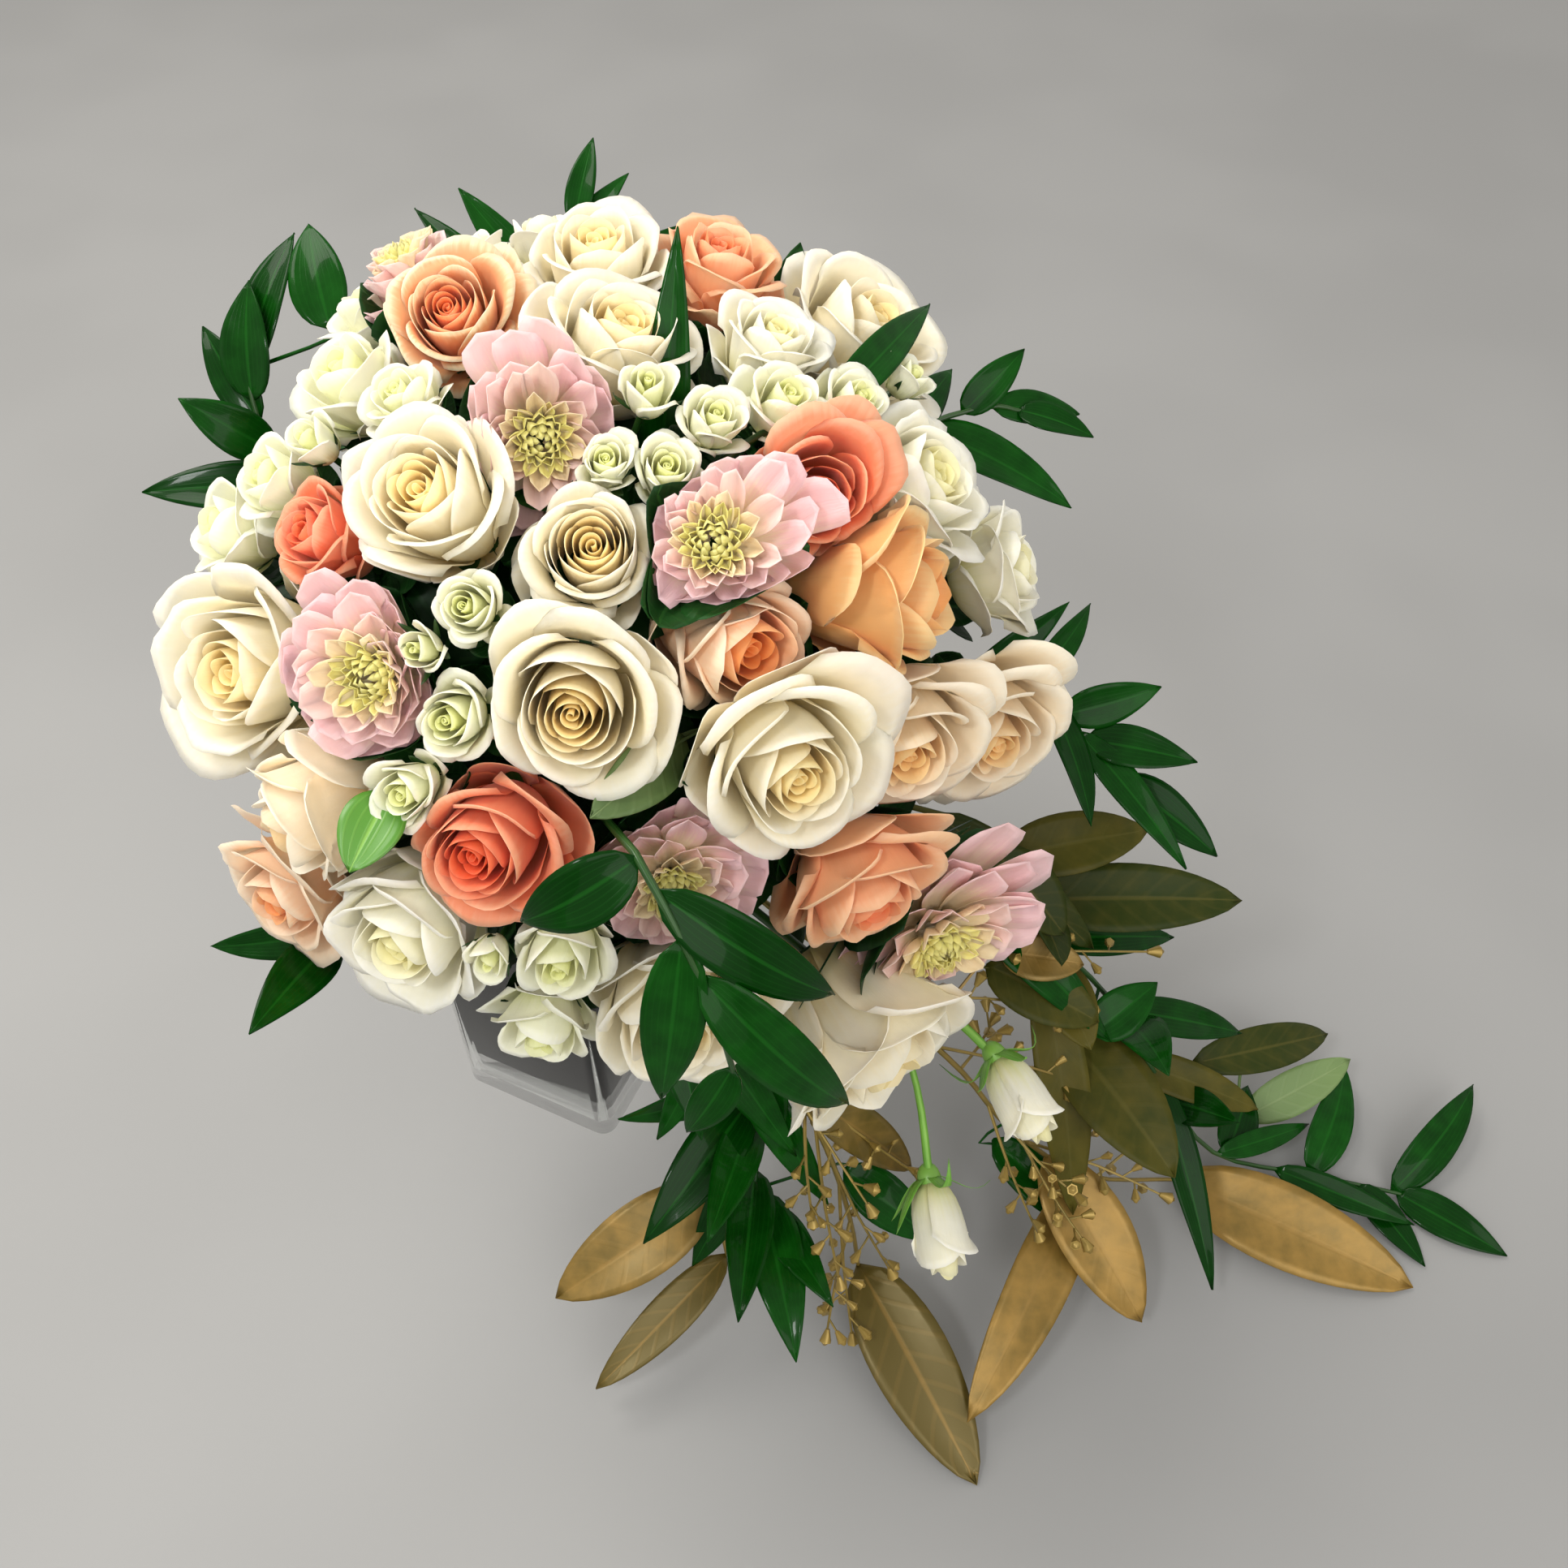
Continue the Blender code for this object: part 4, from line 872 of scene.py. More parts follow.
def as_piece(bm, name, node, finishes, slot, thickness=0.0):
    """A finished piece that rides on the bouquet and takes the place of a solid."""
    if thickness:
        bmesh.ops.remove_doubles(bm, verts=bm.verts, dist=WELD)
        bmesh.ops.dissolve_degenerate(bm, edges=bm.edges, dist=LEAST_EDGE)
        bmesh.ops.triangulate(bm, faces=bm.faces, quad_method="BEAUTY", ngon_method="BEAUTY")
    mesh = bpy.data.meshes.new(name)
    bm.to_mesh(mesh)
    bm.free()
    mesh.shade_smooth()
    if not thickness:
        mesh.set_sharp_from_angle(angle=SHARP_FROM)
    piece = bpy.data.objects.new(name, mesh)
    show(piece)
    for finish in finishes:
        mesh.materials.append(finish)
    if thickness:
        wall = piece.modifiers.new("thickness", "SOLIDIFY")
        wall.thickness = thickness
        wall.offset = 0.0
    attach(piece, "root")
    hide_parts(node)
    return piece


def set_round(turn):
    """Places points by how far they are out along a turn, aside of it and up."""
    outward = Vector((cos(turn), sin(turn), 0.0))
    across = Vector((-sin(turn), cos(turn), 0.0))

    def place(out, aside, high):
        return outward * out + across * aside + Vector((0.0, 0.0, high))

    return place


print("petals are", PETAL_THICK / MM, "mm thick")

# %% [markdown]
# ## A rose
#
# A rose is built round its heart. The smallest petals stand upright and wrap each other, the
# next lean out, and the outer ones open like a cup with their rims rolled back. Nature sets each
# petal about 137.5 degrees round from the last, so none stands straight above another, and one
# edge of each tucks under its neighbour. A loop over the petals follows that rule. A petal's
# side view is a smooth curve through four points, which slide outwards from heart to rim.

# %% One rose petal
GOLDEN_TURN = radians(137.5)


def bend(points, share):
    """A point on the smooth curve that leaves the first point and ends at the fourth."""
    back = 1.0 - share
    weights = (back ** 3, 3 * back * back * share, 3 * back * share * share, share ** 3)
    return [sum(weight * point[axis] for weight, point in zip(weights, points)) for axis in (0, 1)]


@dataclass
class Petal:
    """One petal: its side view, its half width in degrees, and how its rim drops, rolls and waves."""

    side_view: tuple
    wide: float
    drop: float
    roll: float
    wave: float
    pull: float = 1.0


def heart_petal(share, chance):
    """A petal of the bowl: share is 0 beside the coil and 1 at the bowl's rim."""
    rim = 0.11 + 0.51 * share ** 1.15
    top = 1.0 - 0.10 * max(1.0 - share / 0.45, 0.0) ** 2 + chance.uniform(-0.02, 0.02)
    return Petal(
        ((0.03 + 0.09 * share, 0.10 - 0.04 * share), (0.24 + 0.44 * share, 0.05),
         (rim * 1.13 + 0.02, 0.62), (rim, top)),
        (104.0 - 40.0 * share) * chance.uniform(0.94, 1.06),
        0.05 + 0.09 * share, 0.02 + 0.07 * share, 0.004 + 0.010 * share, 0.65 * share,
    )


def guard_petal(share, brim, chance):
    """An outer petal: it hugs the bowl and flares at the top. share is 1 for the outermost."""
    rim = 0.72 + (brim[0] - 0.72) * share ** 0.9 * chance.uniform(0.93, 1.04)
    top = 0.97 - (0.97 - brim[1]) * share + chance.uniform(-0.02, 0.02)
    return Petal(
        ((0.12, 0.05), (0.78, 0.02), (0.66 + 0.16 * share, top * 0.97), (rim, top)),
        (60.0 - 8.0 * share) * chance.uniform(0.92, 1.08),
        0.15 + 0.08 * share, 0.10 + 0.09 * share, 0.016 + 0.014 * share,
    )


def skirt_petal(brim, chance):
    """A petal that has opened wide and lies under the guard petals."""
    rim = brim[0] * chance.uniform(1.0, 1.12)
    return Petal(
        ((0.12, 0.02), (0.70, 0.00), (0.85, 0.42), (rim, brim[1] - 0.24 + chance.uniform(-0.04, 0.04))),
        46.0 * chance.uniform(0.9, 1.1), 0.25, 0.16, 0.03,
    )


print("a petal turns", round(degrees(GOLDEN_TURN), 1), "degrees from the last")


# %% The shape of a petal
def petal_shape(head, reaches, petal, turn, ruffle, chance):
    """Where each corner of a petal's sheet goes, upright at the origin."""
    waves = petal.wave * ruffle
    count = chance.choice((2, 3, 4))
    start = chance.uniform(0.0, tau)
    point = chance.uniform(0.0, 0.05) * petal.drop * 4.0
    wide = radians(petal.wide)

    def shape(u, v):
        side = abs(u)
        up = v * (1.0 - petal.drop * side ** 3.0) + point * v * max(1.0 - side / 0.35, 0.0)
        radius, height = bend(petal.side_view, min(up, 1.05))
        angle = turn + u * wide * (0.60 + 0.40 * sin(pi * min(v * 0.75 + 0.1, 1.0)))
        reach = 1.0 + (reach_at(reaches, angle) - 1.0) * petal.pull
        curl = max((v - 0.70) / 0.30, 0.0) ** 2
        fold = 0.35 + 1.0 * side ** 1.6
        wave = waves * sin(count * u * 2.2 + start) * v ** 3
        out = (radius * (1.0 + 0.07 * u * v) + petal.roll * 0.5 * curl + wave) * head.half() * reach
        high = height * head.height() - (petal.roll * fold - wave) * curl * head.half()
        return Vector((out * cos(angle), out * sin(angle), high))

    return shape


def heart_coil(head, start, chance):
    """The tight coil in the middle: one long petal wound nearly two turns."""
    lean = chance.uniform(0.0, 0.02)

    def shape(u, v):
        wound = (u + 1.0) / 2.0
        angle = start + wound * tau * 1.9
        radius = (0.02 + 0.11 * wound) * (1.12 - 0.24 * v + 0.14 * max(v - 0.8, 0.0) / 0.2)
        high = 0.40 + (0.48 + 0.03 * sin(wound * 9.0)) * v + lean * u
        radius *= head.half()
        return Vector((radius * cos(angle), radius * sin(angle), high * head.height()))

    return shape


print("shapes for the coil and the petals ready")

# %% Petals, heads and kinds
# Kind: petals in the bowl, guard petals, skirt petals, outer rim, faces across and along.
ROSE_KINDS = {
    "rose": (15, 8, 4, (1.26, 0.78), 12, 9),
    "rose_side": (12, 8, 4, (1.24, 0.82), 12, 9),
    "rose_cup": (12, 9, 0, (1.04, 0.93), 12, 9),
    "small": (8, 5, 3, (1.10, 0.78), 9, 6),
    "bud": (5, 3, 0, (0.92, 0.88), 8, 6),
}


def rose_head(bm, head, reaches, ruffle, chance):
    """All the petals of one rose, still upright at the origin."""
    bowl, guards, skirt, brim, columns, rows = ROSE_KINDS[head.kind]
    petals = [(heart_petal((index + 1) / bowl, chance), 0.9 * (index + 1) / bowl) for index in range(bowl)]
    petals += [(guard_petal((index + 1) / guards, brim, chance), 1.0) for index in range(guards)]
    petals += [(skirt_petal(brim, chance), 1.0) for _ in range(skirt)]
    start = chance.uniform(0.0, tau)
    corners = sheet(bm, columns * 3, 4, heart_coil(head, start, chance), 0.0)
    for index, (petal, depth) in enumerate(petals):
        turn = start + GOLDEN_TURN * index + chance.uniform(-0.12, 0.12)
        shape = petal_shape(head, reaches, petal, turn, ruffle, chance)
        corners += sheet(bm, columns, rows, shape, depth)
    return corners


print("petals of a large rose:", sum(ROSE_KINDS["rose"][:3]) + 1)

# %% [markdown]
# ## A dahlia
#
# A dahlia's petals are narrow scoops with a soft point, in rings that shorten towards a tight
# yellow-green eye, whose petals still curl inwards. Each ring is set half a petal round from the
# one below. The rings are a short table, and one scoop shape serves them all.

# %% Rings of scoops
# Root radius and height, tip radius and height, petals, half width, curl of the sides, depth.
DAHLIA_RINGS = (
    (0.22, 0.08, 1.24, 0.40, 9, 0.240, 0.25, 1.00),
    (0.21, 0.18, 1.10, 0.56, 9, 0.225, 0.3, 0.94),
    (0.20, 0.30, 0.94, 0.74, 10, 0.185, 0.5, 0.88),
    (0.19, 0.42, 0.74, 0.86, 10, 0.145, 0.7, 0.76),
    (0.18, 0.52, 0.55, 0.90, 11, 0.105, 0.9, 0.52),
    (0.17, 0.60, 0.40, 0.88, 11, 0.075, 1.1, 0.20),
    (0.15, 0.60, 0.27, 0.86, 11, 0.070, 1.2, 0.08),
    (0.12, 0.62, 0.18, 0.92, 10, 0.062, 1.2, 0.05),
    (0.08, 0.64, 0.10, 0.95, 8, 0.052, 1.2, 0.03),
    (0.04, 0.66, 0.03, 0.96, 5, 0.042, 1.2, 0.02),
)
OUTER_TIP = 0.5


def dahlia_scoop(head, reaches, ring, turn, chance):
    """Where each corner of a scoop goes. Where a flower faces aside, its outer scoops are loose."""
    root, low, tip, high, _, half, curl, _ = ring
    aside = head.kind == "dahlia_side"
    loose = (1.2 if aside else 1.0) if tip > OUTER_TIP else 0.3
    tip *= 1.0 + chance.uniform(-0.14, 0.08) * loose
    high += chance.uniform(-0.08, 0.08) * loose
    half *= chance.uniform(0.88, 1.12) * (1.25 if aside and tip > OUTER_TIP else 1.0)
    sweep = chance.uniform(-0.16, 0.16) * tip * head.half()
    inward = max(OUTER_TIP - tip, 0.0)
    side_view = (
        (root, low),
        (tip * 0.55 + inward * 0.35, low + 0.02),
        (tip * 0.85 + inward * 0.35, high - 0.12),
        (tip, high),
    )
    twist = chance.uniform(-0.3, 0.3) * loose
    place = set_round(turn)
    reach = 1.0 + (reach_at(reaches, turn) - 1.0) * min(tip * 1.2, 1.0)

    def shape(u, v):
        radius, height = bend(side_view, v)
        before, lower = bend(side_view, max(v - 0.02, 0.0))
        after, upper = bend(side_view, min(v + 0.02, 1.0))
        run = Vector(((after - before) * head.half() * reach, (upper - lower) * head.height())).normalized()
        wide = max(1.9 * (v + 0.01) ** 0.65 * max(1.0 - v, 0.0) ** 0.36, 0.4 if v < 0.1 else 0.0)
        wide *= half * head.half() * max(reach, 0.85)
        raised = (curl * u * u - 0.12 * cos(u * pi * 2.0) * v + twist * u * v) * wide
        out = radius * head.half() * reach - run.y * raised
        up = height * head.height() + run.x * raised
        return place(out, u * wide + sweep * v * v, up)

    return shape


def dahlia_head(bm, head, reaches, chance):
    """All the scoops of one dahlia, still upright at the origin."""
    corners = []
    start = chance.uniform(0.0, tau)
    for level, ring in enumerate(DAHLIA_RINGS):
        count = ring[4]
        for index in range(count):
            turn = start + tau * (index + 0.5 * (level % 2)) / count + chance.uniform(-0.10, 0.10)
            corners += sheet(bm, 4, 8, dahlia_scoop(head, reaches, ring, turn, chance), ring[7])
    return corners


print("dahlia scoops:", sum(ring[4] for ring in DAHLIA_RINGS))

# %% [markdown]
# ## Stems and sepals
#
# A stem is a round section pushed along a path. The circle operator makes the section, and it is
# extruded step by step, each ring moved to the next point and turned to face along the path.
# Extruding keeps the section's corners in line, where a curve with a bevel would twist at bends.
# Five green sepals close the underside of each rose, and eight that of each dahlia.


# %% Stem helpers
def smooth_path(points, per_span=2):
    """Points along a smooth curve through the given points."""
    ends = [points[0] * 2 - points[1], *points, points[-1] * 2 - points[-2]]
    path = []
    for before, start, end, after in zip(ends, ends[1:], ends[2:], ends[3:]):
        for step in range(per_span):
            t = step / per_span
            path.append(0.5 * (
                start * 2
                + (end - before) * t
                + (before * 2 - start * 5 + end * 4 - after) * t * t
                + (start * 3 - before - end * 3 + after) * t * t * t
            ))
    path.append(points[-1].copy())
    return path


def push_stem(bm, path, start, end, sides=7):
    """A round stem along a path, with its radius running from start to end."""
    across, along, deep = (bm.verts.layers.float[name] for name in STORED)
    turn = (path[1] - path[0]).normalized().to_track_quat("Z", "Y")
    place = Matrix.LocRotScale(path[0], turn, Vector((start, start, start)))
    made = bmesh.ops.create_circle(bm, cap_ends=True, segments=sides, radius=1.0, matrix=place)["verts"]
    faces = {face for vert in made for face in vert.link_faces}
    edges = list({edge for vert in made for edge in vert.link_edges})
    rings = [made]
    heading = (path[1] - path[0]).normalized()
    for index in range(1, len(path)):
        onward = (path[min(index + 1, len(path) - 1)] - path[index - 1]).normalized()
        turn = heading.rotation_difference(onward) @ turn
        heading = onward
        size = start + (end - start) * index / (len(path) - 1)
        after = Matrix.LocRotScale(path[index], turn, Vector((size, size, size)))
        pushed = bmesh.ops.extrude_edge_only(bm, edges=edges)["geom"]
        ring = [item for item in pushed if isinstance(item, bmesh.types.BMVert)]
        faces |= {item for item in pushed if isinstance(item, bmesh.types.BMFace)}
        edges = [edge for edge in {edge for vert in ring for edge in vert.link_edges} if edge.is_boundary]
        bmesh.ops.transform(bm, matrix=after @ place.inverted(), verts=ring)
        place = after
        rings.append(ring)
    faces |= set(bmesh.ops.edgeloop_fill(bm, edges=edges)["faces"])
    for step, ring in enumerate(rings):
        for index, vert in enumerate(ring):
            vert[along] = step / len(rings)
            vert[across] = index / sides
            vert[deep] = 0.5
    bmesh.ops.recalc_face_normals(bm, faces=list(faces))


print("stem helpers ready")


# %% Sepals and the line of a stem
STEM_DEPTH = 0.023
STEM_OUT = FOAM_RADIUS + 0.014


def sepal(head, turn, length, stand):
    """A slim pointed leaf that hugs the underside of a head."""
    place = set_round(turn)
    half = head.half()

    def shape(u, v):
        wide = half * 0.26 * (v + 0.12) ** 0.4 * (1.0 - v) ** 0.8
        out = half * (0.10 + stand * v ** 0.8)
        return place(out + u * u * wide * 0.3, u * wide, head.height() * (0.02 + length * v))

    return shape


def stem_path(hole, end):
    """A stem from deep in the foam, straight out of it, and on to its end."""
    return [FOAM_CENTRE + hole * STEM_DEPTH, FOAM_CENTRE + hole * STEM_OUT, end]


print("stems leave the foam straight for", round((STEM_OUT - FOAM_RADIUS) / MM), "mm")


# %% Holes in the foam
HOLE_APART = radians(16.0)
PUSHES = 60


def spread_apart(headings):
    """Headings of the holes in the foam, pushed apart until the stems clear each other."""
    spread = [heading.copy() for heading in headings]
    for _ in range(PUSHES):
        for i, first in enumerate(spread):
            for j in range(i + 1, len(spread)):
                second = spread[j]
                apart = first.angle(second)
                if apart >= HOLE_APART:
                    continue
                push = (first - second).normalized() * (HOLE_APART - apart) * 0.5
                first = (first + push).normalized()
                spread[i] = first
                spread[j] = (second - push).normalized()
    return spread


HOLES = spread_apart([heads[0].heading() for _, _, _, heads in FLOWERS] + LEAFY_HEADINGS)
print("holes in the foam:", len(HOLES))

# %% [markdown]
# ## Flowers on the dome
#
# Each flower node now gets its fine piece: petals and sepals are made upright, turned and pressed
# into place, given their thickness, and set on their stems. A real bouquet shows leaves in every
# gap, so each head has leaves under it, and the stems at the sides of the foam carry more, which
# hang over the foam. They could be scattered at random, but leaves that grow from a stem at set
# places look as if they belong to it.

# %% Leaves under the flowers
# How far below the base the leaves start, their length and their rise, as shares of the head.
CLOSE_LEAVES = ((-0.3, 1.25, 0.5),) * 5 + ((-0.9, 1.7, 0.6), (-1.0, 1.7, 0.6), (-1.1, 1.7, 0.6))
DEEP_LEAVES = ((-0.8, 1.7, 0.1), (-0.9, 1.7, 0.1), (-1.0, 1.7, 0.1))


def upright_turn(look, rng):
    """Turns an upright shape to look this way, spun by chance about its own axis."""
    return look.to_track_quat("Z", "Y").to_matrix() @ Matrix.Rotation(rng.uniform(0, tau), 3, "Z")


def under_leaf(head, turn, level, long, rise, chance):
    """A leaf on the stem below the head."""
    place = set_round(turn)
    half = head.half()
    high = level + rise * chance.uniform(0.6, 1.2)
    long *= chance.uniform(0.85, 1.15)
    side_view = ((0.05, level), (0.70, level), (long * 0.75, level + rise * 0.3), (long, high))

    def shape(u, v):
        out, up = bend(side_view, v)
        wide = half * 1.45 * v ** 0.55 * (1.0 - v) ** 0.8
        lift = abs(u) ** 1.4 * wide * 0.25
        return place(out * half, u * wide, up * head.height() + lift)

    return shape


def add_under_leaves(bm, head, leaves, apart, brightest, rng, planes, chance):
    """A set of leaves below a head, each turned by the same angle from the last."""
    corners = []
    for index, sizes in enumerate(leaves):
        leaf = under_leaf(head, apart * index, *sizes, chance)
        corners += sheet(bm, 6, 8, leaf, chance.uniform(0.0, brightest), LEAF_SLOT)
    settle(corners, head, upright_turn(head.heading(), rng), planes)


print("leaves under a large rose:", len(CLOSE_LEAVES) + len(DEEP_LEAVES))

# %% Leaves over the foam
# Share of the way up the stem, angle from hanging down in degrees, length in metres.
FOAM_LEAVES = (
    (0.02, 0.0, 0.050),
    (0.10, 75.0, 0.052),
    (0.18, -75.0, 0.052),
    (0.34, 30.0, 0.058),
    (0.46, -35.0, 0.058),
    (0.60, 160.0, 0.050),
)
# A stem that points up more than this has no such leaves.
UPRIGHT_STEM = 0.9
# How much a foam leaf runs aside of its stem and out along it, its width and its bow.
LEAF_RUN = 0.88
LEAF_STAND = 0.48
LEAF_WIDE = 0.55
LEAF_BOW = 0.5


def foam_leaf(base, out, angle, long):
    """A leaf that leaves its stem sideways and covers the foam and the stems behind it."""
    down = (Vector((0.0, 0.0, -1.0)) + out * out.z).normalized()
    side = out.cross(down)
    run = (down * cos(angle) + side * sin(angle)) * LEAF_RUN + out * LEAF_STAND
    across = out.cross(run).normalized()

    def shape(u, v):
        wide = LEAF_WIDE * long * v ** 0.5 * (1.0 - v) ** 0.75
        bow = LEAF_BOW * long * v * (1.0 - v) - abs(u) ** 1.5 * wide * 0.3
        return base + run * (long * v) + across * (u * wide) + out * bow

    return shape


def add_foam_leaves(bm, hole, path, chance):
    """Leaves low on the stems that stand at the sides of the foam."""
    if hole.z > UPRIGHT_STEM:
        return
    for share, angle, long in FOAM_LEAVES:
        base = path[1].lerp(path[2], share)
        angle = radians(angle + chance.uniform(-15.0, 15.0))
        leaf = foam_leaf(base, hole, angle, long * chance.uniform(0.85, 1.15))
        sheet(bm, 4, 7, leaf, chance.uniform(0.0, 0.5), LEAF_SLOT)


print("leaves low on a stem:", len(FOAM_LEAVES))


# %% One head in its place
# Sepals under each kind: their length and how far they stand out, as shares, and how many.
SEPALS = {"dahlia": (0.16, 0.45, 8), "bud": (0.62, 1.02, 5)}
ROSE_SEPALS = (0.22, 0.60, 5)


def add_head(bm, head, ruffle, rng, chance):
    """One head in its place, with its sepals and the leaves under it."""
    turn = upright_turn(head.axis(), rng)
    planes = cell_planes(head)
    reaches = head_reaches(head, turn, planes)
    kind = head.kind.split("_")[0]
    if kind == "dahlia":
        corners = dahlia_head(bm, head, reaches, chance)
    else:
        corners = rose_head(bm, head, reaches, ruffle, chance)
    length, stand, count = SEPALS.get(kind, ROSE_SEPALS)
    start = chance.uniform(0.0, tau)
    for index in range(count):
        green = sepal(head, start + tau * index / count, length, stand)
        corners += sheet(bm, 2, 5, green, 0.5, STEM_SLOT)
    settle(corners, head, turn, planes)
    if kind == "bud" or head.lift > HIGH_LIFT:
        return
    add_under_leaves(bm, head, CLOSE_LEAVES, GOLDEN_TURN, 0.6, rng, planes, chance)
    deep = DEEP_LEAVES if kind != "small" else ()
    add_under_leaves(bm, head, deep, tau / 3, 0.5, rng, (), chance)


print("heads to make:", len(EVERY_HEAD))

# %% Make the flowers
STEM_RADIUS = 0.0022
TWIG_RADIUS = 0.0013
FORK_SHARE = 0.45
STEM_IN = 0.003
TWIG_IN = 0.004
# Finishes whose slot on the solid model has another petal's name.
OTHER_SLOTS = {"cream": "blush", "blush": "peach", "orange": "peach", "coral_yellow": "peach"}


def make_flowers(rng, chance, leaf_chance):
    """A bloom piece and a stems piece for every flower node."""
    total = 0
    for hole, (node, finish, ruffle, heads) in zip(HOLES, FLOWERS):
        bm = new_mesh()
        for head in heads:
            add_head(bm, head, ruffle, rng, chance)
        main = stem_path(hole, heads[0].root() + heads[0].axis() * STEM_IN)
        add_foam_leaves(bm, hole, main, leaf_chance)
        finishes = (PETAL_FINISHES[finish], GREEN, FOLIAGE)
        slot = f"{OTHER_SLOTS.get(finish, finish)}_petal"
        piece = as_piece(bm, f"{node}_bloom", node, finishes, slot, PETAL_THICK)
        total += len(piece.data.polygons)
        bm = new_mesh()
        push_stem(bm, main[:2] + smooth_path(main[1:], 4)[1:], STEM_RADIUS, STEM_RADIUS)
        for head in heads[1:]:
            fork = main[1].lerp(main[2], FORK_SHARE)
            twig = smooth_path([fork, head.root() + head.axis() * TWIG_IN], 3)
            push_stem(bm, twig, TWIG_RADIUS, TWIG_RADIUS)
        as_piece(bm, f"{node}_stems", node, (GREEN,), "ruscus_leaf")
    return total


ORDER = random.Random(7)
print("flower faces:", make_flowers(ORDER, random.Random(31), random.Random(77)))

# %% [markdown]
# ## Leaves
#
# A leaf is one sheet with a fold along its rib. It widens quickly from its stalk, is broadest
# before its middle and runs out to a point, and its length arches a little. Ruscus leaves look
# outwards round the dome and upwards along the trail.


# %% Leaf shape
# Farther from the dome's middle than this, leaves belong to the trail and look up and forwards.
TRAIL_FROM = 0.245
TRAIL_LOOK = Vector((0.1, -0.45, 0.9))
# Leaves this far round the back look straight away from the dome.
BEHIND = -0.3


def leaf_face(middle):
    """The way a leaf's upper side looks."""
    away = middle - DOME_CENTRE
    if away.length > TRAIL_FROM:
        return TRAIL_LOOK
    if away.normalized().dot(FACE) < BEHIND:
        return away.normalized()
    return away.normalized() * 0.5 + FACE


def leaf_shape(base, tip, leaf, kind, chance):
    """Where each corner of a leaf's sheet goes. Ruscus has the longer point."""
    along = tip - base
    length = along.length
    out = leaf_face(base.lerp(tip, 0.5))
    out = (out - along * out.dot(along) / along.length_squared).normalized()
    side = along.normalized().cross(out)
    blunt = 0.95 if kind == "ruscus" else 0.75
    full = 2.64 if kind == "ruscus" else 2.37
    wave = chance.uniform(0.0, tau)
    ripple = 0.010 if tip.z > 0.01 else 0.003

    def shape(u, v):
        half = leaf.width * MM / 2 * 0.96 * full * (v + 0.0002) ** 0.55 * max(1.0 - v, 0.0) ** blunt
        if v < 0.2:
            half = max(half, 0.0009)
        middle = base + along * v + out * (leaf.arch * length * 4 * v * (1 - v))
        rise = leaf.cup * half * abs(u) ** 1.4 + ripple * length * sin(v * 9.0 + wave + u) * abs(u) * v
        return middle + side * (half * u) + out * rise

    return shape


def along_path(path, share):
    """The point at a share of the path's length."""
    lengths = [(b - a).length for a, b in zip(path, path[1:])]
    left = share * sum(lengths)
    for start, end, length in zip(path, path[1:], lengths):
        if left <= length:
            return start.lerp(end, left / length)
        left -= length
    return path[-1].copy()


print("leaf shape ready")

# %% [markdown]
# ## Seeded twigs
#
# Between the eucalyptus leaves hang thin twigs with many short forks, each end with a seed
# like a tiny goblet. A seed is a six-sided cone, wider at its open end. It is repeated many
# times, so it keeps to a few faces.

# %% Seeds
SEED_SLOT = 1
SEED_STEPS = 6
SEED_SIZE = 0.0034
SEED_TONE = 0.7
# The cup of a seed and its button: lower and upper radius, depth and lift, as shares of its size.
SEED_CONES = ((0.35, 1.0, 2.0, 0.0), (0.8, 0.25, 0.7, 1.3))
TWIG_BOW = 0.002
TWIG_RADII = (0.0010, 0.0006)
SIDE_TWIG_RADII = (0.0006, 0.0005)


def add_seed(bm, place, look, size):
    """A seed: a short cone, widest at its open end, with a button in the opening."""
    turn = look.to_track_quat("Z", "Y").to_matrix().to_4x4()
    matrix = Matrix.Translation(place) @ turn
    for low, high, depth, lift in SEED_CONES:
        made = bmesh.ops.create_cone(
            bm, cap_ends=True, segments=6, radius1=size * low, radius2=size * high, depth=size * depth,
            matrix=matrix @ Matrix.Translation((0.0, 0.0, size * lift)),
        )["verts"]
        deep = bm.verts.layers.float["depth"]
        for vert in made:
            vert[deep] = SEED_TONE
        for face in {face for vert in made for face in vert.link_faces}:
            face.material_index = SEED_SLOT


def add_twig(bm, start, end, chance):
    """A twig with short side twigs that spiral round it, and a seed at every end."""
    onward = (end - start).normalized()
    side = onward.orthogonal().normalized()
    middle = start.lerp(end, 0.5) + side * TWIG_BOW
    push_stem(bm, smooth_path([start, middle, end], 2), *TWIG_RADII, sides=5)
    add_seed(bm, end, onward, SEED_SIZE)
    for step in range(SEED_STEPS):
        share = 0.42 + 0.52 * step / SEED_STEPS
        fork = start.lerp(end, share) + side * TWIG_BOW * sin(pi * share)
        spin = Matrix.Rotation(step * 2.2 + chance.uniform(-0.4, 0.4), 3, onward)
        away = (spin @ side + onward * chance.uniform(0.3, 0.9)).normalized()
        tip = fork + away * chance.uniform(0.006, 0.012)
        push_stem(bm, [fork, tip], *SIDE_TWIG_RADII, sides=4)
        add_seed(bm, tip, away, chance.uniform(0.0024, SEED_SIZE))


print("seeds on a twig:", SEED_STEPS + 1)

# %% Make the leafy stems
LEAF_THICK = 0.0006
LEAF_GRID = (8, 14)
# Each kind: finish of the leaves, finish of the stem, slot on the solid model.
SPRIG_LOOKS = {
    "ruscus": (RUSCUS, GREEN, "ruscus_leaf"),
    "olive": (OLIVE, OLIVE, "olive_leaf"),
    "gold": (GOLD, SEED, "gold_leaf"),
}


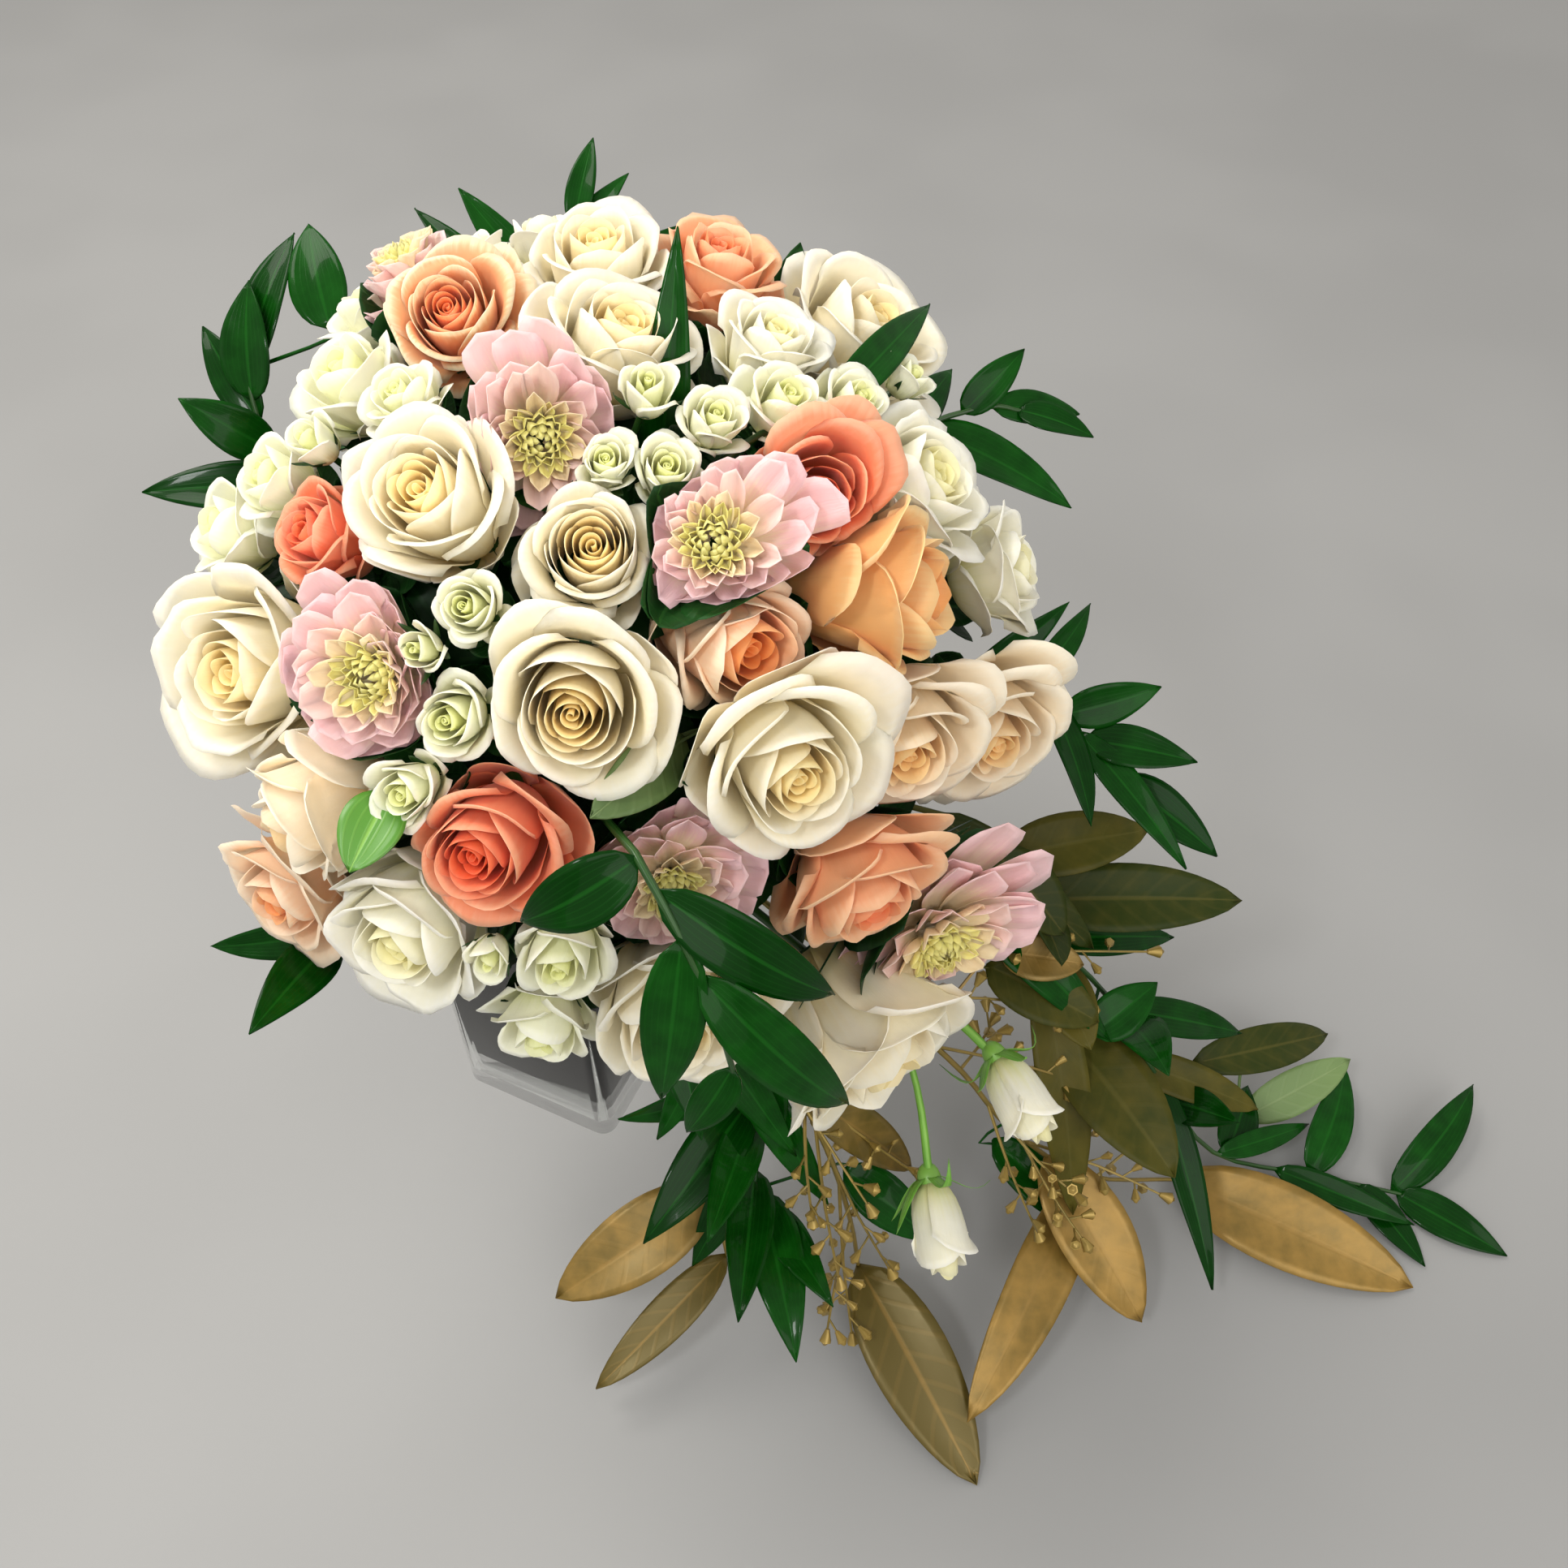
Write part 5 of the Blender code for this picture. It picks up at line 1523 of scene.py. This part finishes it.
def make_sprigs(chance):
    """A leaves piece and a stems piece for every leafy node."""
    total = 0
    for hole, (node, kind, points, leaves, twigs) in zip(HOLES[len(FLOWERS):], SPRIGS):
        route = [in_metres(point) for point in points]
        path = stem_path(hole, route[0])[:-1] + smooth_path(route, 4)
        straight = stem_path(hole, route[0])[:-1] + smooth_path(route, 2)
        bm = new_mesh()
        for leaf in (Leaf(*row) for row in leaves):
            base = along_path(straight, leaf.station)
            shape = leaf_shape(base, in_metres(leaf.tip), leaf, kind, chance)
            tone = chance.uniform(0.2, 0.5) if kind == "ruscus" else chance.uniform(0.1, 0.8)
            sheet(bm, *LEAF_GRID, shape, tone if leaf.tone < 0 else leaf.tone)
        blade_finish, stem_finish, slot = SPRIG_LOOKS[kind]
        piece = as_piece(bm, f"{node}_leaves", node, (blade_finish,), slot, LEAF_THICK)
        total += len(piece.data.polygons)
        bm = new_mesh()
        push_stem(bm, path, TWIG_RADIUS * 1.3, TWIG_RADIUS * 0.9)
        for station, end in twigs:
            add_twig(bm, along_path(straight, station), in_metres(end), chance)
        as_piece(bm, f"{node}_stems", node, (stem_finish, SEED), slot)
    return total


print("leafy stem faces:", make_sprigs(random.Random(5)))

# %% Make the single leaves
STATIONS = 40
STALK_END = 0.004
STALK_RADII = (0.0010, 0.0007)


def carrier(node):
    """The line of the stem that carries a single leaf."""
    for name, _, points, _, _ in SPRIGS:
        if name == node:
            return [in_metres(point) for point in points]
    heads = next(heads for name, _, _, heads in FLOWERS if name == node)
    return [FOAM_CENTRE + heads[0].heading() * FOAM_RADIUS, heads[0].root()]


def make_loose_leaves(chance):
    """A leaf and a stalk that runs to the nearest point of what carries it."""
    for number, (node, base, tip, width, finish, tone) in enumerate(LOOSE_LEAVES):
        base = in_metres(base)
        tip = in_metres(tip)
        kind = "ruscus" if finish is RUSCUS else "broad"
        slot = {OLIVE: "olive_leaf", GOLD: "gold_leaf"}.get(finish, "ruscus_leaf")
        bm = new_mesh()
        sheet(bm, *LEAF_GRID, leaf_shape(base, tip, Leaf(0.0, tip, width), kind, chance), tone)
        as_piece(bm, f"{node}_leaf_{number}", node, (finish,), slot, LEAF_THICK)
        path = carrier(node)
        stations = [along_path(path, step / STATIONS) for step in range(STATIONS + 1)]
        start = min(stations, key=lambda at: (at - base).length)
        onward = (tip - base).normalized() * STALK_END
        bm = new_mesh()
        push_stem(bm, smooth_path([start, base - onward, base + onward], 3), *STALK_RADII, sides=5)
        as_piece(bm, f"{node}_stalk_{number}", node, (finish,), slot)


make_loose_leaves(random.Random(9))
print("single leaves:", len(LOOSE_LEAVES))

# %% [markdown]
# ## Hanging rosebuds
#
# Two half-open white buds hang on bright green stems in the trail. Their sepals are long and
# have already bent away from the petals. A bud could be a shrunken rose, but its petals wrap
# each other nearly all round, so it has a petal shape of its own.

# %% Petals and sepals of a rosebud
BUD_PETALS = 7
BUD_SEPALS = 5


def bud_petal(half, height, share, turn):
    """A petal of a bud: share is 0 for the innermost and 1 for the outermost."""
    rim = 0.16 + 0.72 * share
    side_view = ((0.10, 0.06), (0.95, 0.08), (0.50 + 0.40 * share, 0.62), (rim, 1.0 - 0.10 * share))
    wide = radians(105.0 - 30.0 * share)
    curl = 0.22 * share

    def shape(u, v):
        radius, high = bend(side_view, v * (1.0 - (0.10 + 0.14 * share) * abs(u) ** 2.4))
        rolled = max((v - 0.7) / 0.3, 0.0) ** 2 * curl
        angle = turn + u * wide
        out = (radius * (1.0 + 0.06 * u) + rolled) * half
        return Vector((out * cos(angle), out * sin(angle), (high - rolled * 0.5) * height))

    return shape


def bud_sepal(half, height, turn, chance):
    """A long sepal that has bent away from the bud."""
    place = set_round(turn)
    tip = (chance.uniform(1.3, 2.0), chance.uniform(-0.25, 0.6))
    side_view = ((0.26, 0.02), (0.90, 0.10), (1.25, 0.30), tip)

    def shape(u, v):
        out, high = bend(side_view, v)
        wide = half * 0.40 * (v + 0.15) ** 0.4 * (1.0 - v) ** 0.9
        return place(out * half, u * wide, high * height)

    return shape


print("petals of a rosebud:", BUD_PETALS)


# %% Make the rosebuds
BUD_SUNK = 0.003
HIP_SUNK = 0.001
HIP_SIZE = 0.38
HIP_SHAPE = Vector((1.0, 1.0, 1.35))


def make_rosebuds(hole, rng, chance):
    """Both buds as one piece, and their forked stem with a round hip under each as another."""
    stem = [in_metres(point) for point in BUD_STEM]
    fork = [in_metres(point) for point in BUD_FORK]
    bm = new_mesh()
    half = BUD_WIDTH * MM / 2
    for path, tip in zip((stem, fork), BUD_TIPS):
        tip = in_metres(tip)
        base = path[-1] - (tip - path[-1]).normalized() * BUD_SUNK
        turn = upright_turn((tip - base).normalized(), rng).to_4x4()
        height = (tip - base).length
        corners = []
        for index in range(BUD_PETALS):
            share = index / (BUD_PETALS - 1)
            petal = bud_petal(half, height, share, GOLDEN_TURN * index)
            corners += sheet(bm, 8, 8, petal, 0.3 + 0.7 * share)
        for index in range(BUD_SEPALS):
            leaf = bud_sepal(half, height, tau * index / BUD_SEPALS, chance)
            corners += sheet(bm, 3, 8, leaf, 0.5, STEM_SLOT)
        bmesh.ops.transform(bm, matrix=Matrix.Translation(base) @ turn, verts=corners)
    finishes = (PETAL_FINISHES["white"], FRESH)
    buds = as_piece(bm, "rosebuds_trail_bloom", "rosebuds_trail", finishes, "white_petal", PETAL_THICK)
    bm = new_mesh()
    push_stem(bm, stem_path(hole, stem[0])[:-1] + smooth_path(stem, 4), STEM_RADIUS, STEM_RADIUS)
    push_stem(bm, smooth_path(fork, 4), TWIG_RADIUS, STEM_RADIUS)
    for path, tip in zip((stem, fork), BUD_TIPS):
        onward = (in_metres(tip) - path[-1]).normalized()
        turn = onward.to_track_quat("Z", "Y")
        place = Matrix.LocRotScale(path[-1] - onward * HIP_SUNK, turn, HIP_SHAPE)
        bmesh.ops.create_uvsphere(bm, u_segments=14, v_segments=9, radius=half * HIP_SIZE, matrix=place)
    as_piece(bm, "rosebuds_trail_stems", "rosebuds_trail", (FRESH,), "ruscus_leaf")
    return buds


print("rosebud faces:", len(make_rosebuds(HOLES[-1], ORDER, random.Random(3)).data.polygons))

# %% [markdown]
# ## The glass vase
#
# The vase is a square tank of thick clear glass with rounded corners and a heavy base. A cube is
# bevelled, its top inset and pushed down to leave the walls, as glass pressed in a mould would
# be. Thick glass throws a dark shadow in a render unless light is traced through it at great
# cost, so here light for shadows and for soft bounces passes it freely, while the camera still
# sees real glass.

# %% Glass vase
VASE_SIDE = 0.100
VASE_HEIGHT = 0.250
VASE_WALL = 0.006
VASE_FLOOR = 0.012
VASE_TURN = -25.0
VASE_CORNER = 0.009
VASE_RIM = 0.0012


def glass_finish():
    """Clear glass whose polish is broken by faint smears."""
    made = bpy.data.materials.new("clear_glass")
    made.use_nodes = True
    tree = made.node_tree
    shader = tree.nodes["Principled BSDF"]
    smears = clouds(tree, object_place(tree), 24.0, 4.0)
    put(tree, shader.inputs["Roughness"], spread_over(tree, smears, 0.45, 0.85, 0.0, 0.05))
    put(tree, shader.inputs["Base Color"], (0.97, 0.99, 0.98))
    put(tree, shader.inputs["Transmission Weight"], 1.0)
    put(tree, shader.inputs["IOR"], 1.5)
    light = tree.nodes.new("ShaderNodeLightPath")
    clear = tree.nodes.new("ShaderNodeBsdfTransparent")
    mixed = tree.nodes.new("ShaderNodeMixShader")
    soft_rays = sums(tree, "MAXIMUM", light.outputs["Is Shadow Ray"], light.outputs["Is Diffuse Ray"])
    put(tree, mixed.inputs["Fac"], soft_rays)
    tree.links.new(shader.outputs["BSDF"], mixed.inputs[1])
    tree.links.new(clear.outputs["BSDF"], mixed.inputs[2])
    tree.links.new(mixed.outputs["Shader"], tree.nodes["Material Output"].inputs["Surface"])
    return made


print("glass lets light for shadows and soft bounces pass")


# %% Make the vase
def rise(edge):
    """How much higher one end of an edge is than the other."""
    return abs(edge.verts[0].co.z - edge.verts[1].co.z)


def make_vase():
    """A bevelled block of glass, hollowed from the top, its rims rounded."""
    bm = bmesh.new()
    bmesh.ops.create_cube(bm, size=1.0)
    bmesh.ops.scale(bm, vec=(VASE_SIDE, VASE_SIDE, VASE_HEIGHT), verts=bm.verts)
    bmesh.ops.translate(bm, vec=(0, 0, VASE_HEIGHT / 2), verts=bm.verts)
    upright = [edge for edge in bm.edges if rise(edge) > VASE_HEIGHT / 2]
    bmesh.ops.bevel(
        bm, geom=upright, offset=VASE_CORNER, segments=6, profile=0.5, affect="EDGES", material=-1
    )
    top = max(bm.faces, key=lambda face: face.calc_center_median().z)
    bmesh.ops.inset_individual(bm, faces=[top], thickness=VASE_WALL, use_even_offset=True)
    moved = bmesh.ops.extrude_discrete_faces(bm, faces=[top])["faces"]
    corners = [vert for face in moved for vert in face.verts]
    bmesh.ops.translate(bm, vec=(0, 0, VASE_FLOOR - VASE_HEIGHT), verts=corners)
    level = [edge for edge in bm.edges if rise(edge) < WELD]
    rims = [edge for edge in level if edge.calc_face_angle() > SHARP_FROM]
    bmesh.ops.bevel(bm, geom=rims, offset=VASE_RIM, segments=3, profile=0.5, affect="EDGES", material=-1)
    bmesh.ops.rotate(bm, matrix=Matrix.Rotation(radians(VASE_TURN), 3, "Z"), verts=bm.verts)
    return as_piece(bm, "vase_glass", "vase", (glass_finish(),), "clear_glass")


print("vase faces:", len(make_vase().data.polygons))

# %% [markdown]
# ## Holder, foam and its collar of leaves
#
# A cascade is wired into a plastic holder: a disc that rests on the vase's rim, a tapered handle
# that hangs inside, and a cup for a ball of wet foam. Stacked cylinders would leave seams, so
# half of the outline is drawn and spun about an upright axis, as on a lathe. Rings of leaves
# stand in the foam all round and hide it.


# %% Plastic and foam finishes
def grain_effect():
    """Fine grain in one colour: moulded plastic, or the open cells of foam."""
    tree, given = start_effect("fine_grain", ("Dark", "Light"), ("Scale", "Gloss"))
    cells = tree.nodes.new("ShaderNodeTexNoise")
    put(tree, cells.inputs["Vector"], object_place(tree))
    put(tree, cells.inputs["Scale"], given["Scale"])
    colour = blend(tree, spread_over(tree, cells.outputs["Fac"], 0.35, 0.65), given["Dark"], given["Light"])
    rough = plus(tree, given["Gloss"], times(tree, cells.outputs["Fac"], 0.1))
    return end_effect(tree, colour, cells.outputs["Fac"], rough)


GRAIN = grain_effect()


def grain_finish(name, dark, light, scale, gloss, relief):
    inputs = {"Dark": dark, "Light": light, "Scale": scale, "Gloss": gloss}
    return finish_from(name, GRAIN, inputs, relief)


PLASTIC = grain_finish("holder_plastic", (0.72, 0.75, 0.72), (0.82, 0.84, 0.82), 1200.0, 0.35, 0.0001)
FOAM = grain_finish("wet_foam", (0.012, 0.06, 0.025), (0.03, 0.11, 0.05), 900.0, 0.8, 0.0006)
print("grain finishes:", PLASTIC.name, FOAM.name)

# %% Make the collar of leaves
# Rings of leaves round the foam: how far they stand above its middle in degrees, how many, length.
FOAM_RINGS = ((24.0, 12, 0.055), (-4.0, 14, 0.044))
LEAF_SUNK = 0.003


def make_foam_collar(chance):
    """Leaves pushed into the foam all round, which hang over it."""
    bm = new_mesh()
    for above, count, long in FOAM_RINGS:
        for index in range(count):
            turn = tau * index / count + chance.uniform(-0.15, 0.15)
            lifted = radians(above + chance.uniform(-5.0, 5.0))
            level = cos(lifted)
            out = Vector((cos(turn) * level, sin(turn) * level, sin(lifted)))
            base = FOAM_CENTRE + out * (FOAM_RADIUS - LEAF_SUNK)
            lean = chance.uniform(-0.4, 0.4)
            leaf = foam_leaf(base, out, lean, long * chance.uniform(0.9, 1.1))
            sheet(bm, 6, 9, leaf, chance.uniform(0.0, 0.5))
    as_piece(bm, "foam_collar_leaves", "foam", (FOLIAGE,), "ruscus_leaf", LEAF_THICK)


make_foam_collar(random.Random(13))
print("leaves in the collar:", sum(count for _, count, _ in FOAM_RINGS))

# %% Make the holder
COLLAR_RADIUS = 0.060
COLLAR_THICK = 0.003
HANDLE_TOP_RADIUS = 0.016
HANDLE_END_RADIUS = 0.010
HANDLE_LENGTH = 0.130
HANDLE_SHOULDER = 0.010
HANDLE_TIP = 0.003
CUP_RADIUS = 0.031
CUP_DEPTH = 0.012
CUP_FOOT = 0.62
CUP_LIP = 0.002
EDGE = 0.001


def spun(bm, profile, centre):
    """A solid turned round an upright axis from (radius, height) points."""
    verts = [bm.verts.new((centre.x + radius, centre.y, height)) for radius, height in profile]
    edges = [bm.edges.new(pair) for pair in zip(verts, verts[1:])]
    bmesh.ops.spin(
        bm, geom=verts + edges, cent=(centre.x, centre.y, 0.0), axis=(0, 0, 1), angle=tau,
        steps=48, use_merge=True,
    )


def make_holder():
    """The disc with its handle and the cup, two turned solids that touch."""
    floor = VASE_HEIGHT + GAP
    top = floor + COLLAR_THICK
    end = floor - HANDLE_LENGTH
    bm = bmesh.new()
    spun(bm, (
        (0.0, top), (COLLAR_RADIUS - EDGE, top), (COLLAR_RADIUS, top - COLLAR_THICK / 2),
        (COLLAR_RADIUS - EDGE, floor), (HANDLE_TOP_RADIUS, floor),
        (HANDLE_TOP_RADIUS, floor - HANDLE_SHOULDER), (HANDLE_END_RADIUS, end + HANDLE_TIP),
        (HANDLE_END_RADIUS - HANDLE_TIP, end), (0.0, end),
    ), Vector((0.0, 0.0, 0.0)))
    brim = top + CUP_DEPTH
    spun(bm, (
        (0.0, brim - CUP_LIP), (CUP_RADIUS - CUP_LIP, brim), (CUP_RADIUS, brim),
        (CUP_RADIUS, brim - CUP_LIP), (CUP_RADIUS * CUP_FOOT, top - EDGE), (0.0, top - EDGE),
    ), FOAM_CENTRE)
    bmesh.ops.remove_doubles(bm, verts=bm.verts, dist=LEAST_EDGE)
    bmesh.ops.recalc_face_normals(bm, faces=bm.faces)
    return as_piece(bm, "holder_moulding", "holder", (PLASTIC,), "holder_plastic")


print("holder faces:", len(make_holder().data.polygons))


# %% Make the foam
def make_foam():
    bm = bmesh.new()
    bmesh.ops.create_icosphere(bm, subdivisions=4, radius=FOAM_RADIUS)
    bmesh.ops.translate(bm, vec=FOAM_CENTRE, verts=bm.verts)
    return as_piece(bm, "foam_ball", "foam", (FOAM,), "wet_foam")


print("foam faces:", len(make_foam().data.polygons))

# %% [markdown]
# ## Floor
#
# The floor is not part of the bouquet. It is one large pale sheet with a faint grain, wide enough
# that its edge never shows.

# %% Floor
floor_mesh = bmesh.new()
bmesh.ops.create_grid(floor_mesh, x_segments=1, y_segments=1, size=6.0)
floor = bpy.data.objects.new("floor", bpy.data.meshes.new("floor"))
floor_mesh.to_mesh(floor.data)
floor_mesh.free()
show(floor)
floor.data.materials.append(
    grain_finish("pale_floor", (0.26, 0.262, 0.26), (0.28, 0.282, 0.28), 3.0, 0.55, 0.00001)
)
